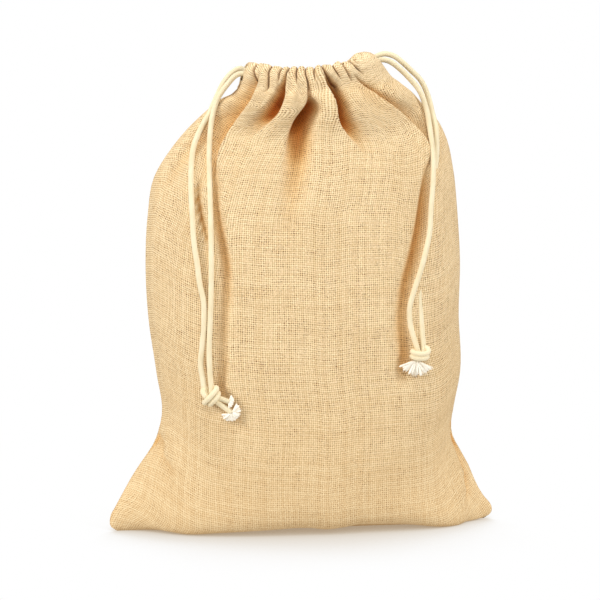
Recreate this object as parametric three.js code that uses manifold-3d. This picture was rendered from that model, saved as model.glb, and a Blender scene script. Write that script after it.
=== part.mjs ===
// A drawstring bag of jute cloth, standing softly filled out on its own base.
// One length of cloth is folded at the bottom and sewn up both sides. Its top is turned in as a casing,
// and two cotton cords leave the casing at the sides, each with its two ends tied in one knot.
// Millimetres, +Z up. The front faces -Y and the left seam is on -X. The origin is on the floor, mid-base.
import * as THREE from "three";
import { mergeVertices } from "three/addons/utils/BufferGeometryUtils.js";
import Module from "manifold-3d";

const wasm = await Module();
wasm.setup();

// Cloth
const CLOTH_THICK = 1.8;
const CLOTH_MIDDLE = CLOTH_THICK / 2;
const LAYER_GAP = 0.4; // between the layers where they lie on each other
const SEAM_THICK = 4; // the turned-in edges that are sewn together up the sides
const GATHER_COLUMNS = 4; // columns of points across one gather
const GATHER_ROUND = 0.7; // below 1 the gathers are fuller than a sine wave
const LINE_STEPS = 400; // steps for measuring along a level line

// Casing: the gathers are this far in and this much fuller along the line of stitching
const STITCH_OUT = -3;
const STITCH_SWELL = 7;
const SLIT_WIDTH = 15; // the opening in each side seam where the cords come out
const SLIT_LOW = 8;
const SLIT_HIGH = 25;
const SLIT_REACH = 14;

// Cord, with its knots and frayed ends
const CORD_DIAMETER = 5.6;
const CORD_SIDES = 10;
const CORD_STEPS = 20;
const KNOT_TURNS = 1.8;
const KNOT_RADIUS = 5.4; // from the knot's axis to the middle of the cord wound round it
const KNOT_PITCH = 5.7;
const KNOT_STEPS = 18;
const KNOT_SIDES = 8;
const STRAND_THICK = 1.5;
const STRAND_SIDES = 4;
const STRAND_ROOT = 2.5; // how deep a strand's root sits in its cord's end
const STRAND_UNEVEN = [1, 0.91, 0.83, 0.75]; // lengths of neighbouring strands, in turn

// Level lines of the cloth, from the fold at the bottom to the stitching under the casing.
// mid: height at the middle of the front and the back. deep: how far they stand out from the seams.
// leftX, leftZ, rightX, rightZ: the side seams. late: how late the line turns up towards the seams.
// point: over 1 the section is a pointed lens, under 1 it is boxy. gather: share of the full gathers.
const LEVELS = [
  { mid: 0.9, deep: 0, leftX: -196, leftZ: 1.2, rightX: 196, rightZ: 4, late: 9, point: 1.05, gather: 0 },
  { mid: 0.9, deep: 25, leftX: -186, leftZ: 22, rightX: 187, rightZ: 25, late: 9, point: 1.05, gather: 0 },
  { mid: 0.9, deep: 47, leftX: -175, leftZ: 42, rightX: 178, rightZ: 45, late: 9, point: 1.05, gather: 0 },
  { mid: 4, deep: 57, leftX: -169, leftZ: 52, rightX: 173, rightZ: 56, late: 8, point: 1.05, gather: 0 },
  { mid: 14, deep: 62, leftX: -161, leftZ: 63, rightX: 167, rightZ: 68, late: 7, point: 1.05, gather: 0 },
  { mid: 38, deep: 66, leftX: -146, leftZ: 86, rightX: 156, rightZ: 89, late: 6, point: 1.03, gather: 0 },
  { mid: 68, deep: 68, leftX: -141, leftZ: 115, rightX: 153, rightZ: 116, late: 5, point: 0.95, gather: 0 },
  { mid: 112, deep: 68, leftX: -147, leftZ: 158, rightX: 159, rightZ: 160, late: 5, point: 0.9, gather: 0 },
  { mid: 167, deep: 67, leftX: -154, leftZ: 212, rightX: 158, rightZ: 215, late: 5, point: 0.85, gather: 0 },
  { mid: 222, deep: 65, leftX: -157, leftZ: 266, rightX: 160, rightZ: 270, late: 5, point: 0.85, gather: 0 },
  { mid: 272, deep: 61, leftX: -155, leftZ: 314, rightX: 157, rightZ: 318, late: 5, point: 0.85, gather: 0 },
  { mid: 313, deep: 57, leftX: -147, leftZ: 351, rightX: 153, rightZ: 357, late: 5, point: 0.87, gather: 0 },
  { mid: 345, deep: 52, leftX: -131, leftZ: 378, rightX: 147, rightZ: 386, late: 5, point: 0.9, gather: 0.05 },
  { mid: 371, deep: 47, leftX: -111, leftZ: 399, rightX: 135, rightZ: 407, late: 5, point: 0.95, gather: 0.2 },
  { mid: 393, deep: 42, leftX: -89, leftZ: 416, rightX: 116, rightZ: 424, late: 5, point: 1, gather: 0.45 },
  { mid: 411, deep: 38, leftX: -75, leftZ: 429, rightX: 104, rightZ: 437, late: 4, point: 1, gather: 0.75 },
  { mid: 428, deep: 33, leftX: -60, leftZ: 439, rightX: 88, rightZ: 449, late: 4, point: 1, gather: 1 },
];

// The casing above the stitching: up the outside, over the top and down the inside.
// rise: height above the stitching. out, swell: the creases' place and how far the gathers stand out of them.
const CASING = [
  { rise: 7, out: 2.2, swell: 8 },
  { rise: 17, out: 4.2, swell: 9 },
  { rise: 25, out: 3.2, swell: 7 },
  { rise: 29, out: 0, swell: 0 },
  { rise: 25, out: -3.2, swell: -5 },
  { rise: 17, out: -4.2, swell: -6 },
  { rise: 8, out: -4.2, swell: -2 },
  { rise: 5, out: -6, swell: -1 },
];
const CASING_NARROW = 0.8; // the casing's share of the width at the stitching
const CASING_DEEP = 27;

// Gathers from the left seam to the right one, on the front and again on the back.
// wide: share of the way. front, back: fullness.
const GATHERS = [
  { wide: 15, front: 1.1, back: 1 },
  { wide: 12, front: 0.95, back: 0.9 },
  { wide: 10, front: 1, back: 1.1 },
  { wide: 9, front: 0.85, back: 0.95 },
  { wide: 8, front: 1, back: 0.8 },
  { wide: 7, front: 0.9, back: 1 },
  { wide: 8, front: 1.05, back: 0.9 },
  { wide: 8, front: 0.9, back: 1.05 },
  { wide: 9, front: 1, back: 0.85 },
  { wide: 11, front: 1.1, back: 1 },
  { wide: 10, front: 0.85, back: 1 },
  { wide: 9, front: 1, back: 0.9 },
  { wide: 12, front: 1, back: 1.1 },
  { wide: 16, front: 1.1, back: 1 },
];

// Folds of the front and the back. Each run goes upwards: place across, height, depth inwards.
// left, right: how far the fold reaches to each side of its line.
const FRONT_FOLDS = [
  // trough left of the middle ridge
  { left: 22, right: 12, run: [
    { x: -58, z: 372, deep: 0 },
    { x: -42, z: 400, deep: 12 },
    { x: -28, z: 420, deep: 12 },
    { x: -18, z: 440, deep: 3 },
  ] },
  // hollow under the middle ridge
  { left: 12, right: 26, run: [
    { x: -24, z: 315, deep: 0 },
    { x: -18, z: 360, deep: 5 },
    { x: -6, z: 395, deep: 12 },
    { x: 2, z: 413, deep: 14 },
    { x: 3, z: 433, deep: 2 },
  ] },
  // trough right of the middle ridge
  { left: 12, right: 28, run: [
    { x: 68, z: 355, deep: 0 },
    { x: 52, z: 385, deep: 8 },
    { x: 42, z: 408, deep: 15 },
    { x: 34, z: 424, deep: 11 },
    { x: 28, z: 442, deep: 3 },
  ] },
  // edge of the right shoulder, then the long crease below it
  { left: 12, right: 34, run: [
    { x: 90, z: 120, deep: 0 },
    { x: 95, z: 190, deep: 6 },
    { x: 106, z: 255, deep: 9 },
    { x: 118, z: 310, deep: 11 },
    { x: 126, z: 360, deep: 11 },
    { x: 120, z: 388, deep: 11 },
    { x: 98, z: 412, deep: 10 },
    { x: 72, z: 438, deep: 3 },
  ] },
  // edge of the left shoulder, then the soft crease below it
  { left: 40, right: 14, run: [
    { x: -66, z: 110, deep: 0 },
    { x: -66, z: 200, deep: 5 },
    { x: -76, z: 270, deep: 7 },
    { x: -88, z: 325, deep: 10 },
    { x: -92, z: 365, deep: 13 },
    { x: -80, z: 395, deep: 14 },
    { x: -60, z: 422, deep: 11 },
    { x: -42, z: 444, deep: 3 },
  ] },
];
const BACK_FOLDS = [
  { left: 24, right: 16, run: [
    { x: -86, z: 330, deep: 0 },
    { x: -70, z: 390, deep: 12 },
    { x: -46, z: 438, deep: 3 },
  ] },
  { left: 16, right: 24, run: [
    { x: -30, z: 300, deep: 0 },
    { x: -24, z: 385, deep: 13 },
    { x: -12, z: 436, deep: 3 },
  ] },
  { left: 22, right: 14, run: [
    { x: 36, z: 325, deep: 0 },
    { x: 28, z: 395, deep: 14 },
    { x: 22, z: 438, deep: 3 },
  ] },
  { left: 18, right: 28, run: [
    { x: 104, z: 210, deep: 0 },
    { x: 104, z: 330, deep: 9 },
    { x: 88, z: 400, deep: 13 },
    { x: 58, z: 440, deep: 3 },
  ] },
];

// Routes of the cords' free ends, from inside the casing to the knot.
const CORD_ROUTES = {
  cord_left_back: [
    [-47.5, 3.4, 457], [-56, 3.6, 459.5], [-69.5, 3.4, 455.5], [-82.5, 2.5, 444], [-88.8, 0, 429.5],
    [-96.8, -5.5, 412], [-104.8, -14, 399], [-110, -21.8, 381], [-113.2, -28.6, 361], [-114.3, -37.3, 337],
    [-113.8, -43.7, 313.5], [-112.8, -49, 288], [-110.2, -52.6, 268.5], [-108, -54.8, 249],
    [-104.8, -57.2, 233], [-104.6, -58.4, 210.5], [-106.2, -58.7, 191.4], [-108, -58.4, 172],
    [-106, -59, 158.5], [-104.4, -60, 147.4],
  ],
  cord_left_front: [
    [-47.5, -3.4, 453], [-56, -3.6, 455], [-67.7, -4.2, 451], [-79.6, -6, 440], [-88.2, -8.5, 429],
    [-91.5, -11.5, 415], [-94, -17.5, 399], [-95.2, -25, 374], [-95.8, -32, 354], [-96.2, -38.2, 337.4],
    [-96.3, -44.5, 313.7], [-96.4, -52.8, 275], [-97, -57.4, 237], [-98, -59.4, 210.7], [-99, -60, 184.7],
    [-98.6, -60.8, 160], [-97.6, -61.4, 149.6],
  ],
  cord_right_back: [
    [69.5, 3.4, 466.5], [78, 3.6, 470.5], [94, 3.4, 468.5], [106.3, 2.6, 459.5], [119.5, 1, 446],
    [127.8, -2, 432.3], [133.5, -8.2, 415], [135.6, -16.4, 399], [134, -21, 380], [130, -25, 360],
    [125.8, -31.6, 328.5], [121, -38.7, 295], [115.4, -44.1, 268], [113, -47.2, 250], [111, -50.2, 235.3],
    [112.4, -52.1, 212.8], [113.2, -54.8, 190], [112.8, -56.4, 181.2],
  ],
  cord_right_front: [
    [69.5, -3.4, 461.5], [78, -3.8, 465.5], [94, -4.6, 461.5], [106, -6, 450.5], [117.4, -8.5, 436],
    [123.5, -12.5, 417.5], [125.3, -19.8, 399], [127, -26.6, 373], [125.6, -33.7, 348], [122.6, -39, 322.5],
    [119.5, -45, 295], [114, -49.7, 273], [109, -51.8, 255], [103.8, -53.2, 240.3], [99.2, -54, 222],
    [99.8, -55.2, 206.4], [104.2, -56.4, 191], [106.8, -57.6, 182.2],
  ],
};

// Knots. at: middle of the knot. tilt: lean of its axis in the plane of the front, in degrees.
const KNOTS = {
  knot_left: { at: [-99.5, -63.9, 141.6], tilt: -38 },
  knot_right: { at: [110, -59.9, 174.5], tilt: -6 },
};

// Frayed ends, each with the bit of cord it grows from.
// spread: whole angle of the fan. reach: longest strand. lift: lean of every other strand off the cloth.
const TUFTS = {
  tuft_left_upper: {
    from: [-89.8, -63.8, 141.4], to: [-81.6, -64.2, 140], strands: 8, spread: 60, reach: 6, lift: 0.3,
  },
  tuft_left_lower: {
    from: [-94.4, -63.8, 135.9], to: [-83.6, -64.2, 128.6], strands: 15, spread: 95, reach: 14, lift: 0.4,
  },
  tuft_right: {
    from: [109.6, -60, 168], to: [107.4, -60.4, 161.5], strands: 21, spread: 135, reach: 13, lift: 0.4,
  },
};

// Sign-keeping power, which bends a circle into a boxier or more pointed one.
function bend(value, power) {
  return Math.sign(value) * Math.abs(value) ** power;
}

// Half a level line of the cloth: from the left seam to the right one along the front (-1) or the back (1).
class HalfLine extends THREE.Curve {
  constructor(level, side) {
    super();
    this.level = level;
    this.side = side;
    this.arcLengthDivisions = LINE_STEPS;
  }

  getPoint(share, target = new THREE.Vector3()) {
    const { mid, deep, leftX, leftZ, rightX, rightZ, late, point } = this.level;
    const across = Math.cos(Math.PI * share);
    const out = Math.sin(Math.PI * share);
    const seamZ = across > 0 ? leftZ : rightZ;
    const x = (leftX + rightX) / 2 + ((leftX - rightX) / 2) * bend(across, point);
    const y = this.side * deep * bend(out, point);
    const z = mid + (seamZ - mid) * Math.abs(across) ** late;
    return target.set(x, y, z);
  }
}

// Depth of one fold at a place on the cloth: a soft trough, each side with its own reach.
function foldDepth(fold, x, z) {
  const last = fold.run.length - 1;
  if (z <= fold.run[0].z || z >= fold.run[last].z) return 0;
  const upper = fold.run.findIndex((station) => station.z > z);
  const above = fold.run[upper];
  const below = fold.run[upper - 1];
  const share = (z - below.z) / (above.z - below.z);
  const offset = x - THREE.MathUtils.lerp(below.x, above.x, share);
  const spread = Math.abs(offset) / (offset < 0 ? fold.left : fold.right);
  return spread < 1 ? THREE.MathUtils.lerp(below.deep, above.deep, share) * (1 - spread ** 2) ** 2 : 0;
}

// Columns of points round the bag: share of the way from seam to seam, side, and the gather's wave there.
function clothColumns() {
  const whole = GATHERS.reduce((sum, gather) => sum + gather.wide, 0);
  const columns = [];
  let start = 0;
  for (const gather of GATHERS) {
    for (let step = 0; step < GATHER_COLUMNS; step += 1) {
      const part = step / GATHER_COLUMNS;
      const wave = Math.sin(Math.PI * part) ** GATHER_ROUND;
      const share = (start + gather.wide * part) / whole;
      columns.push({ share, front: gather.front * wave, back: gather.back * wave });
    }
    start += gather.wide;
  }
  const front = columns.map(({ share, front: wave }) => ({ share, side: -1, wave }));
  const rightSeam = { share: 1, side: 1, wave: 0 };
  const back = columns.slice(1).reverse().map(({ share, back: wave }) => ({ share, side: 1, wave }));
  return [...front, rightSeam, ...back];
}

// One ring of points round the bag at a level, pushed out by the gathers and in by the folds.
function clothRing(level, columns, out, swell) {
  const lines = { "-1": new HalfLine(level, -1), 1: new HalfLine(level, 1) };
  return columns.map(({ share, side, wave }) => {
    const line = lines[side];
    const place = line.getPointAt(share);
    const along = line.getTangentAt(share);
    const outward = new THREE.Vector3(-along.y * side, along.x * side, 0).normalize();
    const folds = side < 0 ? FRONT_FOLDS : BACK_FOLDS;
    const inwards = folds.reduce((sum, fold) => sum + foldDepth(fold, place.x, place.z), 0);
    return place.addScaledVector(outward, out + swell * wave - inwards);
  });
}

// All rings of the cloth, from the fold at the bottom to the end of the hem inside the casing.
function clothRings() {
  const columns = clothColumns();
  const body = LEVELS.map((level) =>
    clothRing(level, columns, STITCH_OUT * level.gather, STITCH_SWELL * level.gather));
  const stitched = LEVELS[LEVELS.length - 1];
  const casing = CASING.map(({ rise, out, swell }) => {
    const level = {
      ...stitched,
      mid: stitched.mid + rise,
      leftZ: stitched.leftZ + rise,
      rightZ: stitched.rightZ + rise,
      leftX: stitched.leftX * CASING_NARROW,
      rightX: stitched.rightX * CASING_NARROW,
      deep: CASING_DEEP,
    };
    return clothRing(level, columns, out, swell);
  });
  return [...body, ...casing];
}

// Outward direction at each point of the rings.
function ringNormals(rings) {
  return rings.map((ring, row) => ring.map((place, column) => {
    const next = ring[(column + 1) % ring.length];
    const before = ring[(column + ring.length - 1) % ring.length];
    const round = next.clone().sub(before);
    const corner = column % (ring.length / 2) === 0 ? Math.sign(place.x) : 0;
    if (row === 0) return new THREE.Vector3(corner, 0, -1).normalize();
    const above = rings[Math.min(row + 1, rings.length - 1)][column];
    const under = rings[Math.max(row - 1, 0)][column];
    return round.cross(above.clone().sub(under)).normalize();
  }));
}

// A closed sheet with the cloth's thickness along the rings. The lowest ring is folded shut on itself.
function clothSheet(rings) {
  const normals = ringNormals(rings);
  const columns = rings[0].length;
  const half = columns / 2;
  const positions = [];
  for (const face of [1, -1]) {
    rings.forEach((ring, row) => ring.forEach((place, column) => {
      const onSide = column % half === 0;
      const reach = onSide && face < 0 ? SEAM_THICK - CLOTH_MIDDLE : CLOTH_MIDDLE;
      const point = place.clone().addScaledVector(normals[row][column], face * reach);
      const side = column < half ? -1 : 1;
      point.y = onSide || row === 0 ? 0 : side * Math.max(side * point.y, LAYER_GAP / 2);
      point.z = Math.max(point.z, 0);
      positions.push(point.x, point.y, point.z);
    }));
  }
  const inner = rings.length * columns;
  const index = [];
  const quad = (a, b, c, d, turned) => index.push(...(turned ? [a, b, d, b, c, d] : [a, b, c, a, c, d]));
  for (let column = 0; column < columns; column += 1) {
    const next = (column + 1) % columns;
    const turned = Math.floor(column / (half / 2)) % 2 === 1;
    for (let row = 0; row + 1 < rings.length; row += 1) {
      const low = row * columns;
      const high = low + columns;
      quad(low + column, low + next, high + next, high + column, turned);
      quad(inner + low + next, inner + low + column, inner + high + column, inner + high + next, !turned);
    }
    const end = (rings.length - 1) * columns;
    quad(end + column, end + next, inner + end + next, inner + end + column, turned);
  }
  const geometry = new THREE.BufferGeometry();
  geometry.setAttribute("position", new THREE.Float32BufferAttribute(positions, 3));
  geometry.setIndex(index);
  return mergeVertices(geometry);
}

// Closed solid of a geometry, for cutting and joining.
function solidOf(geometry) {
  const bare = geometry.clone();
  bare.deleteAttribute("normal");
  bare.deleteAttribute("uv");
  const merged = mergeVertices(bare);
  return new wasm.Manifold(new wasm.Mesh({
    numProp: 3,
    vertProperties: new Float32Array(merged.attributes.position.array),
    triVerts: new Uint32Array(merged.index.array),
  }));
}

function geometryOf(solid) {
  const { vertProperties, triVerts } = solid.getMesh();
  const geometry = new THREE.BufferGeometry();
  geometry.setAttribute("position", new THREE.BufferAttribute(vertProperties, 3));
  geometry.setIndex(new THREE.BufferAttribute(triVerts, 1));
  return geometry;
}

// The cutter for the opening in one side seam: it takes the casing's outer layer and leaves the inner one.
function seamSlit(seamX, seamZ) {
  const slit = new THREE.BoxGeometry(SLIT_REACH * 2, SLIT_WIDTH, SLIT_HIGH - SLIT_LOW);
  const outward = Math.sign(seamX);
  slit.translate(seamX * CASING_NARROW + outward * SLIT_REACH, 0, seamZ + (SLIT_LOW + SLIT_HIGH) / 2);
  return solidOf(slit);
}

function bagCloth() {
  const { leftX, leftZ, rightX, rightZ } = LEVELS[LEVELS.length - 1];
  const sheet = solidOf(clothSheet(clothRings()));
  return geometryOf(sheet.subtract(seamSlit(leftX, leftZ)).subtract(seamSlit(rightX, rightZ)));
}

// Regular outline of a round section with a few sides.
function roundSection(diameter, sides) {
  const corners = [];
  for (let side = 0; side < sides; side += 1) {
    const turn = (2 * Math.PI * side) / sides;
    corners.push(new THREE.Vector2(Math.cos(turn), Math.sin(turn)).multiplyScalar(diameter / 2));
  }
  return new THREE.Shape(corners);
}

function tubeAlong(path, sides, steps) {
  const section = roundSection(CORD_DIAMETER, sides);
  return new THREE.ExtrudeGeometry(section, { steps, bevelEnabled: false, extrudePath: path });
}

function routeCurve(route) {
  return new THREE.CatmullRomCurve3(route.map((place) => new THREE.Vector3(...place)), false, "centripetal");
}

// The turns of a knot round its own axis, which is upright here and tilted when the knot is placed.
class KnotTurns extends THREE.Curve {
  getPoint(share, target = new THREE.Vector3()) {
    const turn = 2 * Math.PI * KNOT_TURNS * share;
    const rise = KNOT_PITCH * KNOT_TURNS * (share - 0.5);
    return target.set(KNOT_RADIUS * Math.sin(turn), -KNOT_RADIUS * Math.cos(turn), rise);
  }
}

// A knot: the pair of cords wound round itself, tilted in the plane of the bag's front.
function knot({ at, tilt }) {
  const half = (KNOT_PITCH * KNOT_TURNS) / 2;
  const core = new THREE.LineCurve3(new THREE.Vector3(0, 0, -half), new THREE.Vector3(0, 0, half));
  const turns = solidOf(tubeAlong(new KnotTurns(), KNOT_SIDES, KNOT_STEPS));
  const geometry = geometryOf(turns.add(solidOf(tubeAlong(core, KNOT_SIDES, 1))));
  geometry.rotateY(THREE.MathUtils.degToRad(tilt));
  geometry.translate(...at);
  return geometry;
}

// A frayed end: a short end of cord with strands that fan out of it, clear of each other but for their roots.
function tuft({ from, to, strands, spread, reach, lift }) {
  const start = new THREE.Vector3(...from);
  const end = new THREE.Vector3(...to);
  const axis = end.clone().sub(start).normalize();
  const outward = new THREE.Vector3(0, -1, 0);
  const sideways = axis.clone().cross(outward).normalize();
  let solid = solidOf(tubeAlong(new THREE.LineCurve3(start, end), KNOT_SIDES, 1));
  for (let strand = 0; strand < strands; strand += 1) {
    const share = strand / (strands - 1) - 0.5;
    const fan = THREE.MathUtils.degToRad(spread * share);
    const row = strand % 2; // every other strand stands further from the cloth
    const length = reach * STRAND_UNEVEN[strand % STRAND_UNEVEN.length];
    const direction = axis.clone().multiplyScalar(Math.cos(fan));
    direction.addScaledVector(sideways, Math.sin(fan)).addScaledVector(outward, lift * row).normalize();
    const spike = new THREE.ConeGeometry(STRAND_THICK / 2, length + STRAND_ROOT, STRAND_SIDES);
    spike.applyQuaternion(new THREE.Quaternion().setFromUnitVectors(new THREE.Vector3(0, 1, 0), direction));
    const root = end.clone().addScaledVector(sideways, share * (CORD_DIAMETER - STRAND_THICK));
    root.addScaledVector(direction, length / 2 - STRAND_ROOT / 2);
    spike.translate(root.x, root.y, root.z);
    solid = solid.add(solidOf(spike));
  }
  return geometryOf(solid);
}

const jute = new THREE.MeshStandardMaterial({ color: 0xd9b277, roughness: 0.95, metalness: 0 });
const cotton = new THREE.MeshStandardMaterial({ color: 0xefe0bd, roughness: 0.9, metalness: 0 });

const bag = new THREE.Group();

function addPiece(name, geometry, material) {
  const mesh = new THREE.Mesh(geometry, material.clone());
  mesh.name = name;
  bag.add(mesh);
}

addPiece("bag_cloth", bagCloth(), jute);
for (const [name, route] of Object.entries(CORD_ROUTES)) {
  addPiece(name, tubeAlong(routeCurve(route), CORD_SIDES, CORD_STEPS), cotton);
}
for (const [name, placing] of Object.entries(KNOTS)) addPiece(name, knot(placing), cotton);
for (const [name, placing] of Object.entries(TUFTS)) addPiece(name, tuft(placing), cotton);

export default bag;
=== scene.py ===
"""Looks of a jute drawstring bag that stands softly filled out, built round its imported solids.

Sizes in the tables are millimetres in the part's own frame: +Z up, the front faces -Y, and the left seam
is on -X. Meshes are made in metres.
"""
from __future__ import annotations

import logging
import math
from dataclasses import dataclass, field
from enum import Enum
from typing import Callable, NamedTuple, Sequence, Union

import bmesh
import bpy
import numpy as np
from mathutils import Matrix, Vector

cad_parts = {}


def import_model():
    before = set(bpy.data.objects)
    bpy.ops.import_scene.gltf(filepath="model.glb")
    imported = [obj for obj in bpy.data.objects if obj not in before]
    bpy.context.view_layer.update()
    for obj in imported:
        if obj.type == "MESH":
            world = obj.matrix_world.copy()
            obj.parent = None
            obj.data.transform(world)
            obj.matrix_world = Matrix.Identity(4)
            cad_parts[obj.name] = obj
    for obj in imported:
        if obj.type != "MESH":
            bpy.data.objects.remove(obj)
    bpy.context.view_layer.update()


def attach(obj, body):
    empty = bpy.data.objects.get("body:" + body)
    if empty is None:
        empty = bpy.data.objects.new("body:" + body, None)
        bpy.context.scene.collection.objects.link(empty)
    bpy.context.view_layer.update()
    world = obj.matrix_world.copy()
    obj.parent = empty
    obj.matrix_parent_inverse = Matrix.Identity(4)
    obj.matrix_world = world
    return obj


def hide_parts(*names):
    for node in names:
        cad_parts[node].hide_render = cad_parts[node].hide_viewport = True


LOG = logging.getLogger("drawstring_bag")
MM = 0.001
WELD = 0.001 * MM  # points of a tube that are this close are one
LINE_DETAIL = 60  # points of a smooth line for each point of its route
BODY = "root"
CLOTH_UV = "cloth"
CORD_UV = "cord"
FOLD_TONES = "fold_tones"
Feed = Union[bpy.types.NodeSocket, float, tuple]
Place = tuple[float, float, float]


class Side(Enum):
    """The two halves of the cloth, by the sign of Y that they lie on."""

    FRONT = -1
    BACK = 1


class Level(NamedTuple):
    """A level line of the cloth, with the shape of its section.

    It has its height and half its depth at the middle, and the places of both side seams. The line rises
    from the middle to the seams by the power named late, and its section is bent by the one named point:
    under 1 it is boxier, and over 1 more pointed. On the right half the skew and the square are taken off
    these powers. The gather is the share of the stitching's pull inwards that reaches the line.
    """

    mid: float
    deep: float
    left_x: float
    left_z: float
    right_x: float
    right_z: float
    late: float
    point: float
    gather: float
    skew: float = 0.0
    square: float = 0.0


class LineSizes(NamedTuple):
    """Sizes of any level line: a level's shape, its gathers, and 1 on the casing or 0 below it."""

    mid: float
    deep: float
    left_x: float
    left_z: float
    right_x: float
    right_z: float
    late: float
    point: float
    out: float
    swell: float
    skew: float
    square: float
    casing: float


class CasingRow(NamedTuple):
    """A line of the casing.

    It has its rise over the stitching, how far out the bottoms of the creases are, how much further the
    gathers swell, and the places of the side seams.
    """

    rise: float
    out: float
    swell: float
    left_x: float
    right_x: float


class Gather(NamedTuple):
    """One gather: its share of the width, its fullness, and the crease on its left.

    The crease has a depth, a run below the stitching, which is under 0 where it ends above it, and a slant.
    """

    wide: float
    full: float
    crease: float
    run: float
    slant: float = 0.0


class Station(NamedTuple):
    """A place on a fold's line, with the fold's depth and its share of the full reach there."""

    x: float
    z: float
    deep: float
    reach: float = 1.0


class Fold(NamedTuple):
    """A soft trough along a line that goes upwards, with its reach to each side.

    A ridge is under 0 deep. The edge of the steeper side can lean over the trough. The gentler side is
    hollow where the bow is 1, and the higher the bow is, the longer it stays deep. The tone says how dark
    the painted shade in the trough is for its depth.
    """

    left: float
    right: float
    run: tuple[Station, ...]
    over: float = 0.0
    bow: float = 2.0
    tone: float = 1.0


LEVELS = (
    Level(0.9, 0, -186, 0.9, 189, 1.6, 9, 1.05, 0, -9, 0.2),
    Level(0.9, 7, -191.5, 5.5, 195, 6.5, 9, 1.05, 0, -11, 0.22),
    Level(0.9, 15, -191, 14.5, 195, 13.5, 9, 1.05, 0, -13, 0.24),
    Level(0.9, 26, -186, 24, 186, 25, 9, 1.05, 0, -14, 0.26),
    Level(0.9, 47, -176, 42, 175.5, 45, 9, 1.05, 0, -14, 0.28),
    Level(4, 57, -170.5, 52, 171.5, 56, 8, 1.05, 0, -13, 0.26),
    Level(14, 62, -163.5, 63, 165, 68, 7, 1.05, 0, -9, 0.2),
    Level(38, 66, -148, 86, 154, 89, 6, 1.03, 0, -4, 0.1),
    Level(68, 68, -139, 115, 154, 116, 5, 0.95, 0),
    Level(112, 68, -144, 158, 161, 160, 5, 0.9, 0),
    Level(167, 67, -151.5, 212, 158.5, 215, 5, 0.85, 0),
    Level(222, 65, -154, 266, 159.5, 270, 5, 0.85, 0),
    Level(272, 61, -151.5, 314, 156.5, 318, 5, 0.85, 0),
    Level(313, 57, -145, 351, 152.5, 357, 5, 0.87, 0),
    Level(345, 52, -128.5, 378, 147, 386, 5, 0.9, 0.05),
    Level(371, 47, -111, 399, 136, 407, 5, 0.95, 0.2),
    Level(393, 42, -93, 416, 119.5, 424, 4.5, 1, 0.45, 0.6),
    Level(411, 38, -79, 427, 108, 436, 3.5, 1, 0.75, 1.1),
    Level(428, 33, -67, 433.5, 93.5, 446, 2.6, 1, 1, 1.1),
)
SECTION_SIZES = Level._fields.index("gather")  # how many fields a level and LineSizes both start with
STITCH_OUT = -2.5  # the bottoms of the creases at the stitching
STITCH_SWELL = 11.0  # how much further the gathers swell there
SWELL_FADE = 46.0  # how far below the stitching they fade out
CASING_DEEP = 27.0
CASING_SKEW = 0.9
# up the outside of the casing, over the rim, and down its turned-in inside
CASING = (
    CasingRow(7, -1.5, 11, -61, 86.5),
    CasingRow(17, -1, 11, -57.5, 78),
    CasingRow(25, -1, 8, -55.5, 72.5),
    CasingRow(29, -2.5, 5, -51.5, 68.5),
    CasingRow(25, -3.2, -4, -50, 67),
    CasingRow(17, -4.2, -5, -48, 65),
    CasingRow(8, -4.2, -2, -48, 65),
    CasingRow(5, -6, -1, -47, 64),
)
SLIT_ROW = CASING[2]  # the line that the slits for the cords are cut across
RIM_RISE = 29.0
# along the right half of the casing: places across, and shares of its rise from the middle to the seam
RIM_STEPS = (
    (-10, 0), (8, 0), (13, 0.12), (20, 0.14), (26, 0.14), (30, 0.3), (41, 0.31), (43, 0.48), (46, 0.52),
    (50, 0.79), (58, 0.88), (66, 0.86), (100, 0.84),
)
# along the front edge of the base: places across, and how far it stands off the floor
BASE_LIFT = (
    (-200, 0), (-140, 0), (-115, 0.5), (-97, 2.4), (-67, 4), (-35, 5.6), (-12, 6.8), (2, 6.4), (15, 4.6),
    (33, 6), (48, 8.2), (63, 8.2), (88, 7.4), (109, 5.4), (131, 1.8), (150, 0), (200, 0),
)
# the creases at both side seams
SEAM_CREASE = 0.5
SEAM_RUN = 20.0
FRONT_GATHERS = (
    Gather(10.3, 0.9, SEAM_CREASE, SEAM_RUN),
    Gather(9.9, 1.0, 0.95, -3, -0.26),
    Gather(6.8, 0.75, 1.0, 1, 0.02),
    Gather(5.0, 0.8, 0.95, -9, 0.16),
    Gather(4.9, 0.95, 1.0, -12, 0.32),
    Gather(5.0, 1.05, 1.0, -9, 0.12),
    Gather(5.8, 0.9, 1.0, 0, 0.0),
    Gather(4.8, 1.05, 1.0, -12, 0.14),
    Gather(7.7, 0.85, 1.0, 4, -0.42),
    Gather(6.5, 1.0, 1.0, -8, -0.18),
    Gather(6.1, 0.9, 1.0, -5, -0.1),
    Gather(2.9, 0.95, 1.0, -3, -0.24),
    Gather(11.3, 0.9, 0.5, -12, -0.16),
    Gather(13.0, 0.9, 0.0, -12, -0.16),
)
BACK_GATHERS = (
    Gather(11, 1.0, SEAM_CREASE, SEAM_RUN),
    Gather(9, 0.9, 0.9, 35),
    Gather(7, 1.1, 1.0, 44),
    Gather(6, 0.9, 0.8, 30),
    Gather(8, 0.85, 1.0, 40),
    Gather(5, 1.0, 0.7, 12),
    Gather(7, 0.9, 0.95, 40),
    Gather(6, 1.05, 0.9, 46),
    Gather(8, 0.9, 0.75, 24),
    Gather(6, 1.0, 1.0, 44),
    Gather(9, 1.0, 0.8, 36),
    Gather(12, 1.0, 0.9, 40),
)
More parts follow.
